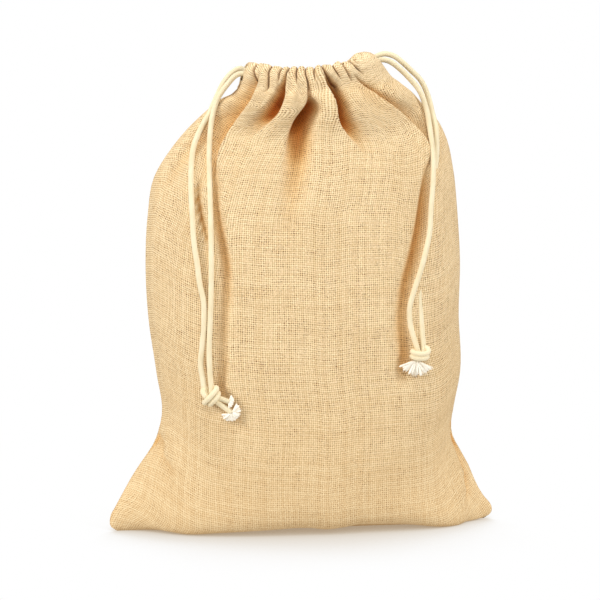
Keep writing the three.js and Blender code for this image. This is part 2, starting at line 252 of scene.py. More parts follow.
FRONT_FOLDS = (
    # trough left of the middle ridge, with its steep wall on the right
    Fold(25, 5, (
        Station(-62, 384, 0), Station(-55, 391, 1.2), Station(-48, 397, 3.5), Station(-39, 404, 9),
        Station(-30, 412, 19, 0.9), Station(-24, 421, 24, 0.75), Station(-20.8, 430, 19, 0.6),
        Station(-19.4, 438, 13, 0.4), Station(-18.5, 448, 5, 0.2), Station(-18, 458, 0, 0.2),
    ), over=3, bow=1.8, tone=1.5),
    # the middle ridge stands out over the hollow beside it
    Fold(13, 9, (
        Station(-38, 386, 0), Station(-29, 400, -3), Station(-19, 413, -6), Station(-14, 426, -6),
        Station(-11, 438, -3), Station(-11, 448, 0),
    )),
    # hollow under the middle ridge, which runs down into a soft valley
    Fold(5, 25, (
        Station(-22, 358, 0), Station(-21, 371, 2.5), Station(-19.5, 386, 8.5), Station(-16, 400, 19),
        Station(-12, 409, 28, 0.98), Station(-7.2, 416, 31, 0.9), Station(-2.8, 422.5, 25, 0.65),
        Station(-0.5, 429, 10, 0.32), Station(0, 438, 4, 0.2), Station(0, 450, 0, 0.2),
    ), over=4, bow=2.8),
    Fold(18, 20, (
        Station(-22, 290, 0), Station(-19, 325, 5), Station(-14, 355, 9.5), Station(-10, 378, 12),
        Station(-6, 396, 8), Station(-4, 412, 0),
    ), tone=1.05),
    # trough right of the middle ridge, with its steep wall on the left
    Fold(5, 25, (
        Station(62, 366, 0), Station(57, 373, 1.2), Station(50, 382, 3.5), Station(41.5, 392, 9.5),
        Station(34, 401, 19), Station(29, 410, 28, 0.85), Station(26.5, 421, 33, 0.74),
        Station(22.5, 432, 34, 0.7), Station(17.5, 443, 21, 0.55), Station(15, 453, 3, 0.25),
        Station(13, 458, 0, 0.2),
    ), over=4, bow=1.5, tone=1.35),
    # edge of the right shoulder
    Fold(4, 36, (
        Station(124, 352, 0), Station(127, 372, 6), Station(124, 386, 8), Station(112, 401, 9),
        Station(92, 416, 10, 0.8), Station(70, 430, 9, 0.55), Station(52, 442, 7, 0.3),
        Station(42, 452, 0, 0.2),
    ), over=2.5, bow=1.4, tone=0.7),
    # soft hollow on the right shoulder, under the casing
    Fold(30, 30, (
        Station(80, 404, 0), Station(72, 418, 2), Station(64, 431, 3), Station(58, 442, 2.5),
        Station(54, 450, 0),
    ), tone=1.8),
    # long crease below the right shoulder, beside the cords, with its steep wall on the right
    Fold(15, 8, (
        Station(92, 144, 0), Station(93, 160, 6.5), Station(96, 177, 9.5), Station(94.5, 191, 9),
        Station(92.5, 208, 8.5), Station(94, 228, 9), Station(98, 248, 10.5), Station(104.5, 267, 11.5),
        Station(110.5, 288, 12, 0.95), Station(115, 308, 12, 0.9), Station(118, 325, 11.5, 0.85),
        Station(120, 340, 10, 0.75), Station(121.5, 355, 6, 0.6), Station(124, 369, 2.5, 0.5),
        Station(125, 380, 0, 0.5),
    ), over=0.8, tone=1.25),
    # edge of the left shoulder
    Fold(40, 4, (
        Station(-98, 336, 0), Station(-94, 352, 4, 0.7), Station(-90.5, 366, 6.5, 0.75),
        Station(-86.5, 380, 9.5, 0.8), Station(-78, 395, 11.5, 0.9), Station(-65, 411, 13, 0.95),
        Station(-56, 421, 13, 0.85), Station(-49, 431, 13, 0.7), Station(-44, 441, 8, 0.5),
        Station(-41, 452, 0, 0.2),
    ), over=2.5, bow=1.7),
    # short crease between the left cords
    Fold(3, 8, (
        Station(-97, 280, 0), Station(-101, 291, 5), Station(-105, 305, 8), Station(-108.5, 320, 8.5),
        Station(-110, 333, 7), Station(-109, 344, 3), Station(-106, 352, 0),
    ), over=1.2, bow=1.3, tone=2.1),
    # long crease below the left shoulder, beside the cords and round their frayed ends
    Fold(8, 8, (
        Station(-68, 106, 0), Station(-71, 116, 4), Station(-79, 130, 4.5), Station(-88, 144, 6.5),
        Station(-87.5, 160, 5.5), Station(-86, 177, 5, 1.15), Station(-87, 200, 5, 1.15),
        Station(-84.5, 223, 5.5, 1.15), Station(-82.5, 245, 6.5, 1.1), Station(-82.5, 268, 9),
        Station(-85.5, 286, 10), Station(-89.5, 306, 10), Station(-92, 326, 9), Station(-92, 344, 8),
        Station(-91, 358, 5), Station(-90, 370, 0),
    ), over=0.6, tone=1.25),
    # groove beside the left seam
    Fold(9, 14, (
        Station(-142, 335, 0), Station(-136, 346, 3.5), Station(-123, 368, 5), Station(-106, 391, 5),
        Station(-95, 404, 3), Station(-87, 412, 0),
    )),
    # raised fold from the notch down into the right corner, and the crease behind it
    Fold(9, 5, (
        Station(160, 14, 0), Station(158.5, 26, -3), Station(157.5, 40, -4), Station(155, 54, -4),
        Station(150.5, 68, -3), Station(145, 86, 0),
    )),
    Fold(3.5, 15, (
        Station(160, 16, 0), Station(162.5, 28, 4.5), Station(163, 40, 8), Station(160.5, 54, 9),
        Station(156, 70, 8), Station(151, 88, 5.5), Station(148.5, 104, 2.5), Station(147, 116, 0),
    ), over=2, bow=1.7, tone=1.7),
    # crease from the notch into the left corner
    Fold(14, 3.5, (
        Station(-126, 48, 0), Station(-133, 60, 3), Station(-138.5, 72, 6), Station(-142.5, 84, 6.5),
        Station(-145, 94, 4), Station(-147, 102, 0),
    ), over=1.5, bow=1.3, tone=1.2),
)
# soft troughs that fall from the casing
BACK_FOLDS = (
    Fold(24, 10, (Station(-86, 330, 0), Station(-70, 390, 14), Station(-46, 438, 3)), over=2),
    Fold(10, 24, (Station(-30, 300, 0), Station(-24, 385, 15), Station(-12, 436, 3)), over=2),
    Fold(22, 8, (Station(36, 325, 0), Station(28, 395, 16), Station(22, 438, 3)), over=2),
    Fold(12, 28, (Station(104, 210, 0), Station(104, 330, 9), Station(88, 400, 14), Station(58, 440, 3))),
)
CORD_ROUTES: dict[str, tuple[Place, ...]] = {
    "cord_left_back": (
        (-47.5, 3.4, 448.5), (-54, 3.5, 453.5), (-61, 3.5, 457.6), (-69.4, 3.1, 453.4), (-77.5, 2.5, 444),
        (-85, 0, 429.5), (-93.6, -6, 412), (-102, -14.5, 399), (-110, -21.8, 381), (-113.2, -28.6, 361),
        (-114.3, -37.3, 337), (-113.8, -43.7, 313.5), (-112.8, -49, 288), (-110.2, -52.6, 268.5),
        (-108, -54.8, 249), (-104.8, -57.2, 233), (-104.6, -58.4, 210.5), (-106.2, -58.7, 191.4),
        (-108, -58.4, 172), (-106, -59, 158.5), (-104.4, -60, 147.4), (-102, -62, 141),
    ),
    "cord_left_front": (
        (-47.5, -3.4, 446.5), (-54, -3.6, 450.3), (-61, -3.9, 452.3), (-67, -4.5, 450), (-75.5, -6, 441),
        (-84.2, -8.5, 429), (-89.4, -11.8, 415), (-93, -17.8, 399), (-95.2, -25, 374), (-95.8, -32, 354),
        (-96.2, -38.2, 337.4), (-96.3, -44.5, 313.7), (-96.6, -52.8, 275), (-97.6, -57.4, 237),
        (-98.8, -59.4, 210.7), (-99.8, -60, 184.7), (-99, -60.8, 160), (-98, -61.4, 149.6),
        (-98.2, -62.6, 143),
    ),
    "cord_right_back": (
        (66, 3.4, 465), (72.5, 3.5, 468.8), (79, 3.6, 472), (84.5, 3.6, 473.2), (94, 3.5, 470.8),
        (102, 3.2, 465), (110, 2.4, 457.6), (120.5, 1, 447), (127, -2.4, 432.3), (130, -9.4, 415),
        (132, -18, 399), (132, -22, 380), (130, -25, 360), (125.8, -31.6, 328.5), (120.6, -38.7, 295),
        (114.4, -44.1, 268), (111, -47.2, 250), (108.6, -50.2, 235.3), (110, -52.1, 212.8),
        (111.6, -54.8, 190), (111.6, -56.4, 181.2), (110, -58.6, 175.5),
    ),
    "cord_right_front": (
        (66, -3.4, 461), (73, -3.6, 464.8), (79, -3.9, 466.8), (85, -4.2, 466.2), (91, -4.6, 463.3),
        (98, -5.2, 457.8), (107, -6.2, 449), (117.4, -8.5, 436), (123.5, -12.5, 417.5), (125.3, -19.8, 399),
        (127, -26.6, 373), (125.6, -33.7, 348), (122.6, -39, 322.5), (119.5, -45, 295), (113.6, -49.7, 273),
        (108, -51.8, 255), (102.6, -53.2, 240.3), (98, -54, 222), (98.8, -55.2, 206.4), (103, -56.4, 191),
        (105.6, -57.6, 182.2), (106.6, -59, 176),
    ),
}
# the bands of cord that show of each knot, from its middle
LEFT_BANDS = (
    (
        (-2.5, 4.5, 6.2), (-5.6, 2.5, 6), (-6.8, -1.2, 3.8), (-5, -3.6, 0.6), (-2, -3.2, -2.2),
        (1, -0.5, -4.2),
    ),
    (
        (-2.4, 4, -6.4), (-4.8, 1.4, -7), (-4.9, -2.6, -5.4), (-2.6, -5.4, -2.8), (1, -6.4, 1.2),
        (4.2, -5.2, 4.6), (6.2, -2, 6.8), (5.6, 1.6, 7.4), (3, 4, 6.8),
    ),
    (
        (2, 3.6, -8), (0.2, 0.8, -8.4), (0.6, -2.8, -7), (3, -5.2, -4.4), (5.8, -5.2, -1.2),
        (7.6, -2.8, 1.4), (7.6, 0.8, 2.6), (5.8, 3.5, 3),
    ),
)
RIGHT_BANDS = (
    (
        (-4, 4.2, 2.4), (-6.8, 2.2, 2.6), (-7.6, -1.4, 2.4), (-5.2, -4.4, 1.2), (-0.5, -5.6, 0.4),
        (4.6, -4.6, 0.8), (7.8, -2, 2.6), (8, 1, 5), (5.4, 3.4, 6.2),
    ),
    (
        (-4.4, 4, -1.6), (-7.2, 2, -2), (-7.8, -1.4, -2.2), (-5, -4, -3.2), (0, -5, -4), (4.4, -4, -3.6),
        (6.8, -1.2, -2.4), (6, 2, -1.6), (3.6, 4, -1.4),
    ),
)


def paint(red: float, green: float, blue: float) -> tuple[float, float, float, float]:
    """Turns a colour as seen on a screen, 0 to 255, into the shader's linear values.

    Args:
        red: Red as seen.
        green: Green as seen.
        blue: Blue as seen.

    Returns:
        Linear red, green, blue and a full alpha.
    """
    linear = []
    for seen in (red, green, blue):
        share = seen / 255
        linear.append(share / 12.92 if share <= 0.04045 else ((share + 0.055) / 1.055) ** 2.4)
    return (linear[0], linear[1], linear[2], 1.0)


def smooth_through(knots: np.ndarray, values: np.ndarray, at: np.ndarray) -> np.ndarray:
    """Reads rows of values between their knots on cubic pieces whose slopes are those of their neighbours.

    Args:
        knots: Rising places of the rows.
        values: One row of values for each knot.
        at: Places to read.

    Returns:
        One row of values for each place.
    """
    slopes = np.gradient(values, knots, axis=0)
    low = np.clip(np.searchsorted(knots, at, side="right") - 1, 0, len(knots) - 2)
    width = (knots[low + 1] - knots[low])[:, None]
    step = np.clip((at - knots[low])[:, None] / width, 0, 1)
    square = step * step
    cube = square * step
    start = (2 * cube - 3 * square + 1) * values[low] + (cube - 2 * square + step) * width * slopes[low]
    end = (3 * square - 2 * cube) * values[low + 1] + (cube - square) * width * slopes[low + 1]
    return start + end


def soft_step(value: np.ndarray) -> np.ndarray:
    """Rises smoothly from 0 to 1 as the value does."""
    share = np.clip(value, 0, 1)
    return share * share * (3 - 2 * share)


def bent(value: np.ndarray, power: float) -> np.ndarray:
    """Raises to a power and keeps the sign, which makes a circle boxier or more pointed."""
    return np.sign(value) * np.abs(value) ** power


class Graph:
    """Adds nodes to one shader tree and links them."""

    def __init__(self, tree: bpy.types.NodeTree) -> None:
        """Keeps the tree that the nodes go into."""
        self.tree = tree

    def join(self, socket: bpy.types.NodeSocket, feed: Feed) -> None:
        """Links a socket to another, or sets its value.

        Args:
            socket: The input to feed.
            feed: An output to link, or a value.
        """
        if isinstance(feed, bpy.types.NodeSocket):
            self.tree.links.new(feed, socket)
        else:
            socket.default_value = feed

    def node(self, kind: str, feeds: dict[Union[str, int], Feed], **settings: object) -> bpy.types.Node:
        """Adds one node.

        Args:
            kind: Blender's name of the node.
            feeds: Links or values by input.
            settings: Other settings of the node.

        Returns:
            The node.
        """
        made = self.tree.nodes.new(kind)
        for name, value in settings.items():
            setattr(made, name, value)
        for socket, feed in feeds.items():
            self.join(made.inputs[socket], feed)
        return made

    def math(self, operation: str, *feeds: Feed) -> bpy.types.NodeSocket:
        """Adds a maths node with its feeds in order."""
        return self.node("ShaderNodeMath", dict(enumerate(feeds)), operation=operation).outputs[0]

    def vector(self, x: Feed, y: Feed, z: Feed) -> bpy.types.NodeSocket:
        """Joins three values into a vector."""
        return self.node("ShaderNodeCombineXYZ", {0: x, 1: y, 2: z}).outputs[0]

    def shift(self, operation: str, first: Feed, second: Feed) -> bpy.types.NodeSocket:
        """Adds a vector maths node on two vectors."""
        return self.node("ShaderNodeVectorMath", {0: first, 1: second}, operation=operation).outputs[0]

    def span(self, value: Feed, low: float, high: float, start: Feed, end: Feed) -> bpy.types.NodeSocket:
        """Maps a value from one range to another, easing at both ends.

        Args:
            value: What to map.
            low: Where the range starts.
            high: Where the range ends.
            start: Result at the start.
            end: Result at the end.

        Returns:
            The mapped value.
        """
        feeds = {0: value, 1: low, 2: high, 3: start, 4: end}
        return self.node("ShaderNodeMapRange", feeds, interpolation_type="SMOOTHSTEP").outputs[0]

    def noise(self, where: Feed, scale: float, detail: float) -> bpy.types.NodeSocket:
        """Adds a noise texture and gives its value."""
        feeds = {"Vector": where, "Scale": scale, "Detail": detail, "Roughness": 0.55}
        return self.node("ShaderNodeTexNoise", feeds, noise_dimensions="3D").outputs[0]

    def mix(self, share: Feed, first: Feed, second: Feed) -> bpy.types.NodeSocket:
        """Mixes two colours by a share."""
        return self.node("ShaderNodeMix", {0: share, 6: first, 7: second}, data_type="RGBA").outputs[2]

    def shaded(self, first: Feed, second: Feed) -> bpy.types.NodeSocket:
        """Multiplies two colours."""
        feeds = {0: 1.0, 6: first, 7: second}
        return self.node("ShaderNodeMix", feeds, data_type="RGBA", blend_type="MULTIPLY").outputs[2]


class NodeGroup:
    """A shader node group with named inputs and outputs, built once and placed in materials."""

    def __init__(self, name: str, inputs: dict[str, str], outputs: dict[str, str]) -> None:
        """Makes the group's tree and its sockets.

        Args:
            name: The group's name.
            inputs: Socket type by input name.
            outputs: Socket type by output name.
        """
        self.tree = bpy.data.node_groups.new(name, "ShaderNodeTree")
        for direction, sockets in (("INPUT", inputs), ("OUTPUT", outputs)):
            for label, kind in sockets.items():
                self.tree.interface.new_socket(label, in_out=direction, socket_type=kind)
        self.graph = Graph(self.tree)
        self.given = self.graph.node("NodeGroupInput", {}).outputs
        self.result = self.graph.node("NodeGroupOutput", {}).inputs

    def put(self, label: str, feed: Feed) -> None:
        """Feeds one of the group's outputs."""
        self.graph.join(self.result[label], feed)

    def place(self, graph: Graph, feeds: dict[Union[str, int], Feed]) -> bpy.types.bpy_prop_collection:
        """Places the group in another tree.

        Args:
            graph: The tree to place it in.
            feeds: Links or values by input.

        Returns:
            The placed group's outputs.
        """
        placed = graph.node("ShaderNodeGroup", {}, node_tree=self.tree)
        for socket, feed in feeds.items():
            graph.join(placed.inputs[socket], feed)
        return placed.outputs


VALUE = "NodeSocketFloat"
VECTOR = "NodeSocketVector"


@dataclass(frozen=True)
class PlainWeave:
    """A plain weave of uneven spun threads, with sizes in shares of the threads' pitch."""

    wander: float = 1.0
    wander_scale: float = 0.06
    jitter: float = 0.25
    jitter_scale: float = 0.4
    seeds: tuple[float, float] = (17.0, 53.0)
    seed_step: float = 7.31
    off_middle: float = 0.08
    slub_stretch: float = 0.2
    half_thin: float = 0.22
    half_thick: float = 0.38
    bare_from: float = 0.8
    bare_to: float = 1.2
    rise: float = 0.9
    gap_low: float = -1.5
    patch_scale: float = 0.11
    patch_closed: float = 0.45
    hole_closed: float = 0.15

    def moved(
        self, graph: Graph, counted: bpy.types.NodeSocket, scale: float, detail: float, amount: float,
    ) -> bpy.types.NodeSocket:
        """Makes the threads wander by a soft noise.

        Args:
            graph: The group's tree.
            counted: Places on the cloth, counted in threads.
            scale: How fine the noise is.
            detail: How many finer layers it has.
            amount: How far it moves the threads.

        Returns:
            Moves across the cloth.
        """
        feeds = {"Vector": counted, "Scale": scale, "Detail": detail}
        noise = graph.node("ShaderNodeTexNoise", feeds, noise_dimensions="2D").outputs[1]
        centred = graph.shift("SUBTRACT", noise, (0.5, 0.5, 0.5))
        return graph.shift("MULTIPLY", centred, (amount, amount, 0.0))

    def threads(
        self,
        graph: Graph,
        across: bpy.types.NodeSocket,
        along: bpy.types.NodeSocket,
        seed: float,
        turn: float,
    ) -> tuple[bpy.types.NodeSocket, ...]:
        """Makes the threads of one direction.

        Args:
            graph: The group's tree.
            across: Threads counted across them.
            along: Threads of the other direction, counted along these.
            seed: Sets these threads apart from the others.
            turn: 1 where these go under the first of the others, and 0 where they go over it.

        Returns:
            Their height, the gaps between them, each one's own shade, and where they are thick.
        """
        number = graph.math("FLOOR", across)
        own = graph.math("MULTIPLY_ADD", number, self.seed_step, seed)
        lot = graph.node("ShaderNodeTexWhiteNoise", {"W": own}, noise_dimensions="1D").outputs
        middle = graph.span(lot[0], 0.0, 1.0, 0.5 - self.off_middle, 0.5 + self.off_middle)
        offset = graph.math("SUBTRACT", graph.math("SUBTRACT", across, number), middle)
        drawn_out = graph.math("MULTIPLY", along, self.slub_stretch)
        slub = graph.noise(graph.vector(own, drawn_out, seed), 1.0, 2.0)
        half = graph.span(slub, 0.25, 0.75, self.half_thin, self.half_thick)
        share = graph.math("DIVIDE", offset, half)
        bare = graph.span(graph.math("ABSOLUTE", share), self.bare_from, self.bare_to, 0.0, 1.0)
        round_top = graph.math("SUBTRACT", 1.0, graph.math("MULTIPLY", share, share))
        phase = graph.math("SUBTRACT", graph.math("SUBTRACT", along, number), 0.5 - turn)
        over = graph.math("COSINE", graph.math("MULTIPLY", phase, math.pi))
        round_top = graph.math("MAXIMUM", round_top, self.gap_low)
        height = graph.math("MULTIPLY_ADD", over, self.rise, round_top)
        return height, bare, graph.node("ShaderNodeSeparateXYZ", {0: lot[1]}).outputs[1], slub

    def group(self) -> NodeGroup:
        """Makes the weave's node group.

        Returns:
            A group from flat cloth coordinates and thread pitch to the weave's height and holes, and each
            thread's own shade and thickness.
        """
        made = NodeGroup(
            "plain_weave",
            {"Cloth": VECTOR, "Pitch": VALUE},
            {"Height": VALUE, "Hole": VALUE, "Thread": VALUE, "Slub": VALUE},
        )
        graph = made.graph
        pitch = made.given["Pitch"]
        counted = graph.shift("DIVIDE", made.given["Cloth"], graph.vector(pitch, pitch, 1.0))
        wavy = graph.shift("ADD", counted, self.moved(graph, counted, self.wander_scale, 2.0, self.wander))
        wavy = graph.shift("ADD", wavy, self.moved(graph, counted, self.jitter_scale, 1.0, self.jitter))
        x, y = graph.node("ShaderNodeSeparateXYZ", {0: wavy}).outputs[:2]
        warp = self.threads(graph, x, y, self.seeds[0], 0.0)
        weft = self.threads(graph, y, x, self.seeds[1], 1.0)
        made.put("Height", graph.math("MAXIMUM", warp[0], weft[0]))
        cell = graph.vector(graph.math("ROUND", x), graph.math("ROUND", y), 0.0)
        chance = graph.node("ShaderNodeTexWhiteNoise", {"Vector": cell}, noise_dimensions="2D").outputs[0]
        patch = graph.span(graph.noise(counted, self.patch_scale, 2.0), 0.38, 0.62, self.patch_closed, 1.0)
        bare = graph.math("MULTIPLY", graph.math("MULTIPLY", warp[1], weft[1]), patch)
        made.put("Hole", graph.math("MULTIPLY", bare, graph.span(chance, 0.05, 0.9, self.hole_closed, 1.0)))
        on_top = graph.math("GREATER_THAN", warp[0], weft[0])
        for label, part in (("Thread", 2), ("Slub", 3)):
            feeds = {0: on_top, 2: weft[part], 3: warp[part]}
            blend = graph.node("ShaderNodeMix", feeds, data_type="FLOAT")
            made.put(label, blend.outputs[0])
        return made


def spun_fibre() -> NodeGroup:
    """Makes the group for the fine uneven fibres of spun cotton.

    Returns:
        A group from coordinates along and round a yarn to a fibre height and a patchy shade.
    """
    group = NodeGroup("spun_fibre", {"Yarn": VECTOR}, {"Height": VALUE, "Shade": VALUE})
    graph = group.graph
    drawn_out = graph.shift("MULTIPLY", group.given["Yarn"], (9.0, 1.0, 1.0))
    group.put("Height", graph.noise(drawn_out, 260.0, 3.0))
    group.put("Shade", graph.noise(group.given["Yarn"], 45.0, 3.0))
    return group


@dataclass(frozen=True)
class JuteFinish:
    """Golden jute in a coarse plain weave.

    Three tints paint shade over the woven colour: a light one in shallow folds, a deep one in deep folds
    and a brown one in the casing's creases. Towards the base the weave is calmer and a little darker with
    painted shade, the casing is paler with painted light, and the weave's gaps and crests carry painted
    shade and painted light.
    """

    pitch: float = 2.1 * MM
    light: tuple[float, float, float, float] = paint(248, 225, 183)
    dark: tuple[float, float, float, float] = paint(236, 207, 161)
    hole: tuple[float, float, float, float] = paint(108, 57, 16)
    # painted shade in shallow and in deep folds
    shade: tuple[float, float, float, float] = paint(243, 214, 165)
    deep_painted_shade: tuple[float, float, float, float] = paint(220, 147, 66)
    # painted shade in the casing's creases
    slit: tuple[float, float, float, float] = paint(138, 88, 47)
    sheen: tuple[float, float, float, float] = paint(255, 226, 180)
    middling: float = 1.2
    base_crisp: float = 0.45
    # painted shade that darkens the cloth towards the base
    base_painted_shade: float = 0.91
    # painted light that makes the casing paler
    casing_painted_light: float = 1.07
    # painted shade in the weave's gaps and painted light on its crests; the powers make the painted shade
    # warmer
    gap_painted_shade: float = 0.76
    crest_painted_light: float = 1.06
    green_power: float = 1.35
    blue_power: float = 1.9
    bump: float = 0.35 * MM
    bump_strength: float = 0.54

    def material(self, weave: NodeGroup) -> bpy.types.Material:
        """Makes the cloth's material.

        Args:
            weave: The plain weave group.

        Returns:
            The material.
        """
        made = bpy.data.materials.new("jute_weave")
        made.use_nodes = True
        graph = Graph(made.node_tree)
        shader = made.node_tree.nodes["Principled BSDF"]
        flat = graph.node("ShaderNodeUVMap", {}, uv_map=CLOTH_UV).outputs[0]
        woven = weave.place(graph, {"Cloth": flat, "Pitch": self.pitch})
        patchy = graph.noise(flat, 16.0, 3.0)
        share = graph.math("MULTIPLY_ADD", woven["Slub"], 0.5, graph.math("MULTIPLY", woven["Thread"], 0.5))
        straw = graph.mix(graph.span(share, 0.1, 0.9, 0.0, 1.0), self.dark, self.light)
        uneven = graph.span(patchy, 0.3, 0.7, 0.95, 1.0)
        tones = graph.node("ShaderNodeAttribute", {}, attribute_name=FOLD_TONES).outputs["Vector"]
        hollow, creased, casing = graph.node("ShaderNodeSeparateXYZ", {0: tones}).outputs
        # painted light on the casing
        paler = graph.math("MULTIPLY", uneven, graph.span(casing, 0.0, 0.3, 1.0, self.casing_painted_light))
        upwards = graph.node("ShaderNodeSeparateXYZ", {0: flat}).outputs[1]
        # painted shade towards the base
        paler = graph.math("MULTIPLY", paler, graph.span(upwards, 0.1, 0.3, self.base_painted_shade, 1.0))
        crisp = graph.span(upwards, 0.04, 0.24, self.base_crisp, 1.0)
        over = graph.math("SUBTRACT", woven["Height"], self.middling)
        relief = graph.math("MULTIPLY_ADD", over, crisp, self.middling)
        # painted shade and painted light from the weave's relief, warmer where darker
        tone = graph.math("MULTIPLY", paler, graph.span(relief, 0.2, 1.9, self.gap_painted_shade, self.crest_painted_light))
        green = graph.math("POWER", tone, self.green_power)
        toned = graph.shaded(straw, graph.vector(tone, green, graph.math("POWER", tone, self.blue_power)))
        # painted shade in the folds, darker where they are deeper
        tint = graph.mix(graph.span(hollow, 0.0, 0.65, 0.0, 0.9), (1, 1, 1, 1), self.shade)
        tint = graph.mix(graph.span(hollow, 0.4, 1.0, 0.0, 0.96), tint, self.deep_painted_shade)
        # painted shade in the casing's creases
        tint = graph.mix(graph.span(creased, 0.06, 0.55, 0.0, 0.92), tint, self.slit)
        bare = graph.math("MULTIPLY", woven["Hole"], crisp)
        colour = graph.mix(bare, graph.shaded(toned, tint), self.hole)
        graph.join(shader.inputs["Base Color"], colour)
        graph.join(shader.inputs["Roughness"], graph.span(relief, 0.0, 1.9, 0.95, 0.78))
        shader.inputs["Specular IOR Level"].default_value = 0.25
        shader.inputs["Sheen Weight"].default_value = 0.12
        shader.inputs["Sheen Roughness"].default_value = 0.5
        shader.inputs["Sheen Tint"].default_value = self.sheen
        feeds = {"Height": relief, "Strength": self.bump_strength, "Distance": self.bump}
        bump = graph.node("ShaderNodeBump", feeds)
        graph.join(shader.inputs["Normal"], bump.outputs[0])
        return made


@dataclass(frozen=True)
class CottonFinish:
    """Cream cotton, braided as a cord or frayed into yarns."""

    name: str
    light: tuple[float, float, float, float]
    dark: tuple[float, float, float, float]
    braid: float
    plait_pitch: float = 2.2 * MM
    bump: float = 0.25 * MM
    bump_strength: float = 0.5

    def material(self, fibre: NodeGroup) -> bpy.types.Material:
        """Makes the cord's material.

        Args:
            fibre: The spun fibre group.

        Returns:
            The material.
        """
        made = bpy.data.materials.new(self.name)
        made.use_nodes = True
        graph = Graph(made.node_tree)
        shader = made.node_tree.nodes["Principled BSDF"]
        yarn = graph.node("ShaderNodeUVMap", {}, uv_map=CORD_UV).outputs[0]
        spun = fibre.place(graph, {"Yarn": yarn})
        axes = graph.node("ShaderNodeSeparateXYZ", {0: yarn}).outputs
        plaits = []
        for turn in (1.0, -1.0):
            slant = graph.math("MULTIPLY_ADD", axes[1], turn, axes[0])
            plaits.append(graph.math("SINE", graph.math("MULTIPLY", slant, 2 * math.pi / self.plait_pitch)))
        plait = graph.math("MULTIPLY", graph.math("MAXIMUM", plaits[0], plaits[1]), self.braid)
        height = graph.math("ADD", plait, spun["Height"])
        colour = graph.mix(graph.span(spun["Shade"], 0.3, 0.7, 0.0, 1.0), self.dark, self.light)
        graph.join(shader.inputs["Base Color"], colour)
        shader.inputs["Roughness"].default_value = 0.85
        shader.inputs["Specular IOR Level"].default_value = 0.25
        shader.inputs["Sheen Weight"].default_value = 0.2
        shader.inputs["Sheen Roughness"].default_value = 0.4
        feeds = {"Height": height, "Strength": self.bump_strength, "Distance": self.bump}
        bump = graph.node("ShaderNodeBump", feeds)
        graph.join(shader.inputs["Normal"], bump.outputs[0])
        return made


CORD_COTTON = CottonFinish(
    name="cotton_braid", light=paint(240, 226, 192), dark=paint(233, 216, 177), braid=0.9,
)
FRAYED_COTTON = CottonFinish(
    name="cotton_fray", light=paint(253, 248, 236), dark=paint(247, 239, 222), braid=0.0,
)


def shaped_grid(
    columns: int,
    rows: int,
    uv_name: str,
    place: Callable[[np.ndarray, np.ndarray], tuple[np.ndarray, np.ndarray, np.ndarray]],
) -> bmesh.types.BMesh:
    """Makes a grid and moves its points by a formula.

    Args:
        columns: Faces across.
        rows: Faces along.
        uv_name: Name of its UV map.
        place: Gives places and flat coordinates, in metres, and three tones, for arrays of column and row
        numbers. The tones are the depth in a fold, the depth in a crease, and the height on the casing,
        which the cloth's material turns into painted shade and painted light.

    Returns:
        The grid, not yet closed where its edges meet.
    """
    made = bmesh.new()
    bmesh.ops.create_grid(made, x_segments=columns, y_segments=rows, size=1.0)
    corners = np.array([vert.co for vert in made.verts])
    column = np.rint((corners[:, 0] + 1) / 2 * columns).astype(int)
    row = np.rint((corners[:, 1] + 1) / 2 * rows).astype(int)
    places, flats, tones = place(column, row)
    flat_layer = made.loops.layers.uv.new(uv_name)
    tone_layer = made.verts.layers.float_vector.new(FOLD_TONES)
    made.verts.index_update()
    for face in made.faces:
        for loop in face.loops:
            loop[flat_layer].uv = flats[loop.vert.index]
    for vert, spot, tone in zip(made.verts, places, tones):
        vert.co = spot
        vert[tone_layer] = tone
    return made


def finish_mesh(name: str, made: bmesh.types.BMesh, material: bpy.types.Material) -> bpy.types.Object:
    """Turns a bmesh into a smooth object that sits at the origin.

    Args:
        name: The piece's name.
        made: Its shape, which is freed.
        material: Its finish.

    Returns:
        The object, linked to the scene.
    """
    for face in made.faces:
        face.smooth = True
    mesh = bpy.data.meshes.new(name)
    made.to_mesh(mesh)
    made.free()
    mesh.materials.append(material)
    piece = bpy.data.objects.new(name, mesh)
    bpy.context.scene.collection.objects.link(piece)
    return piece


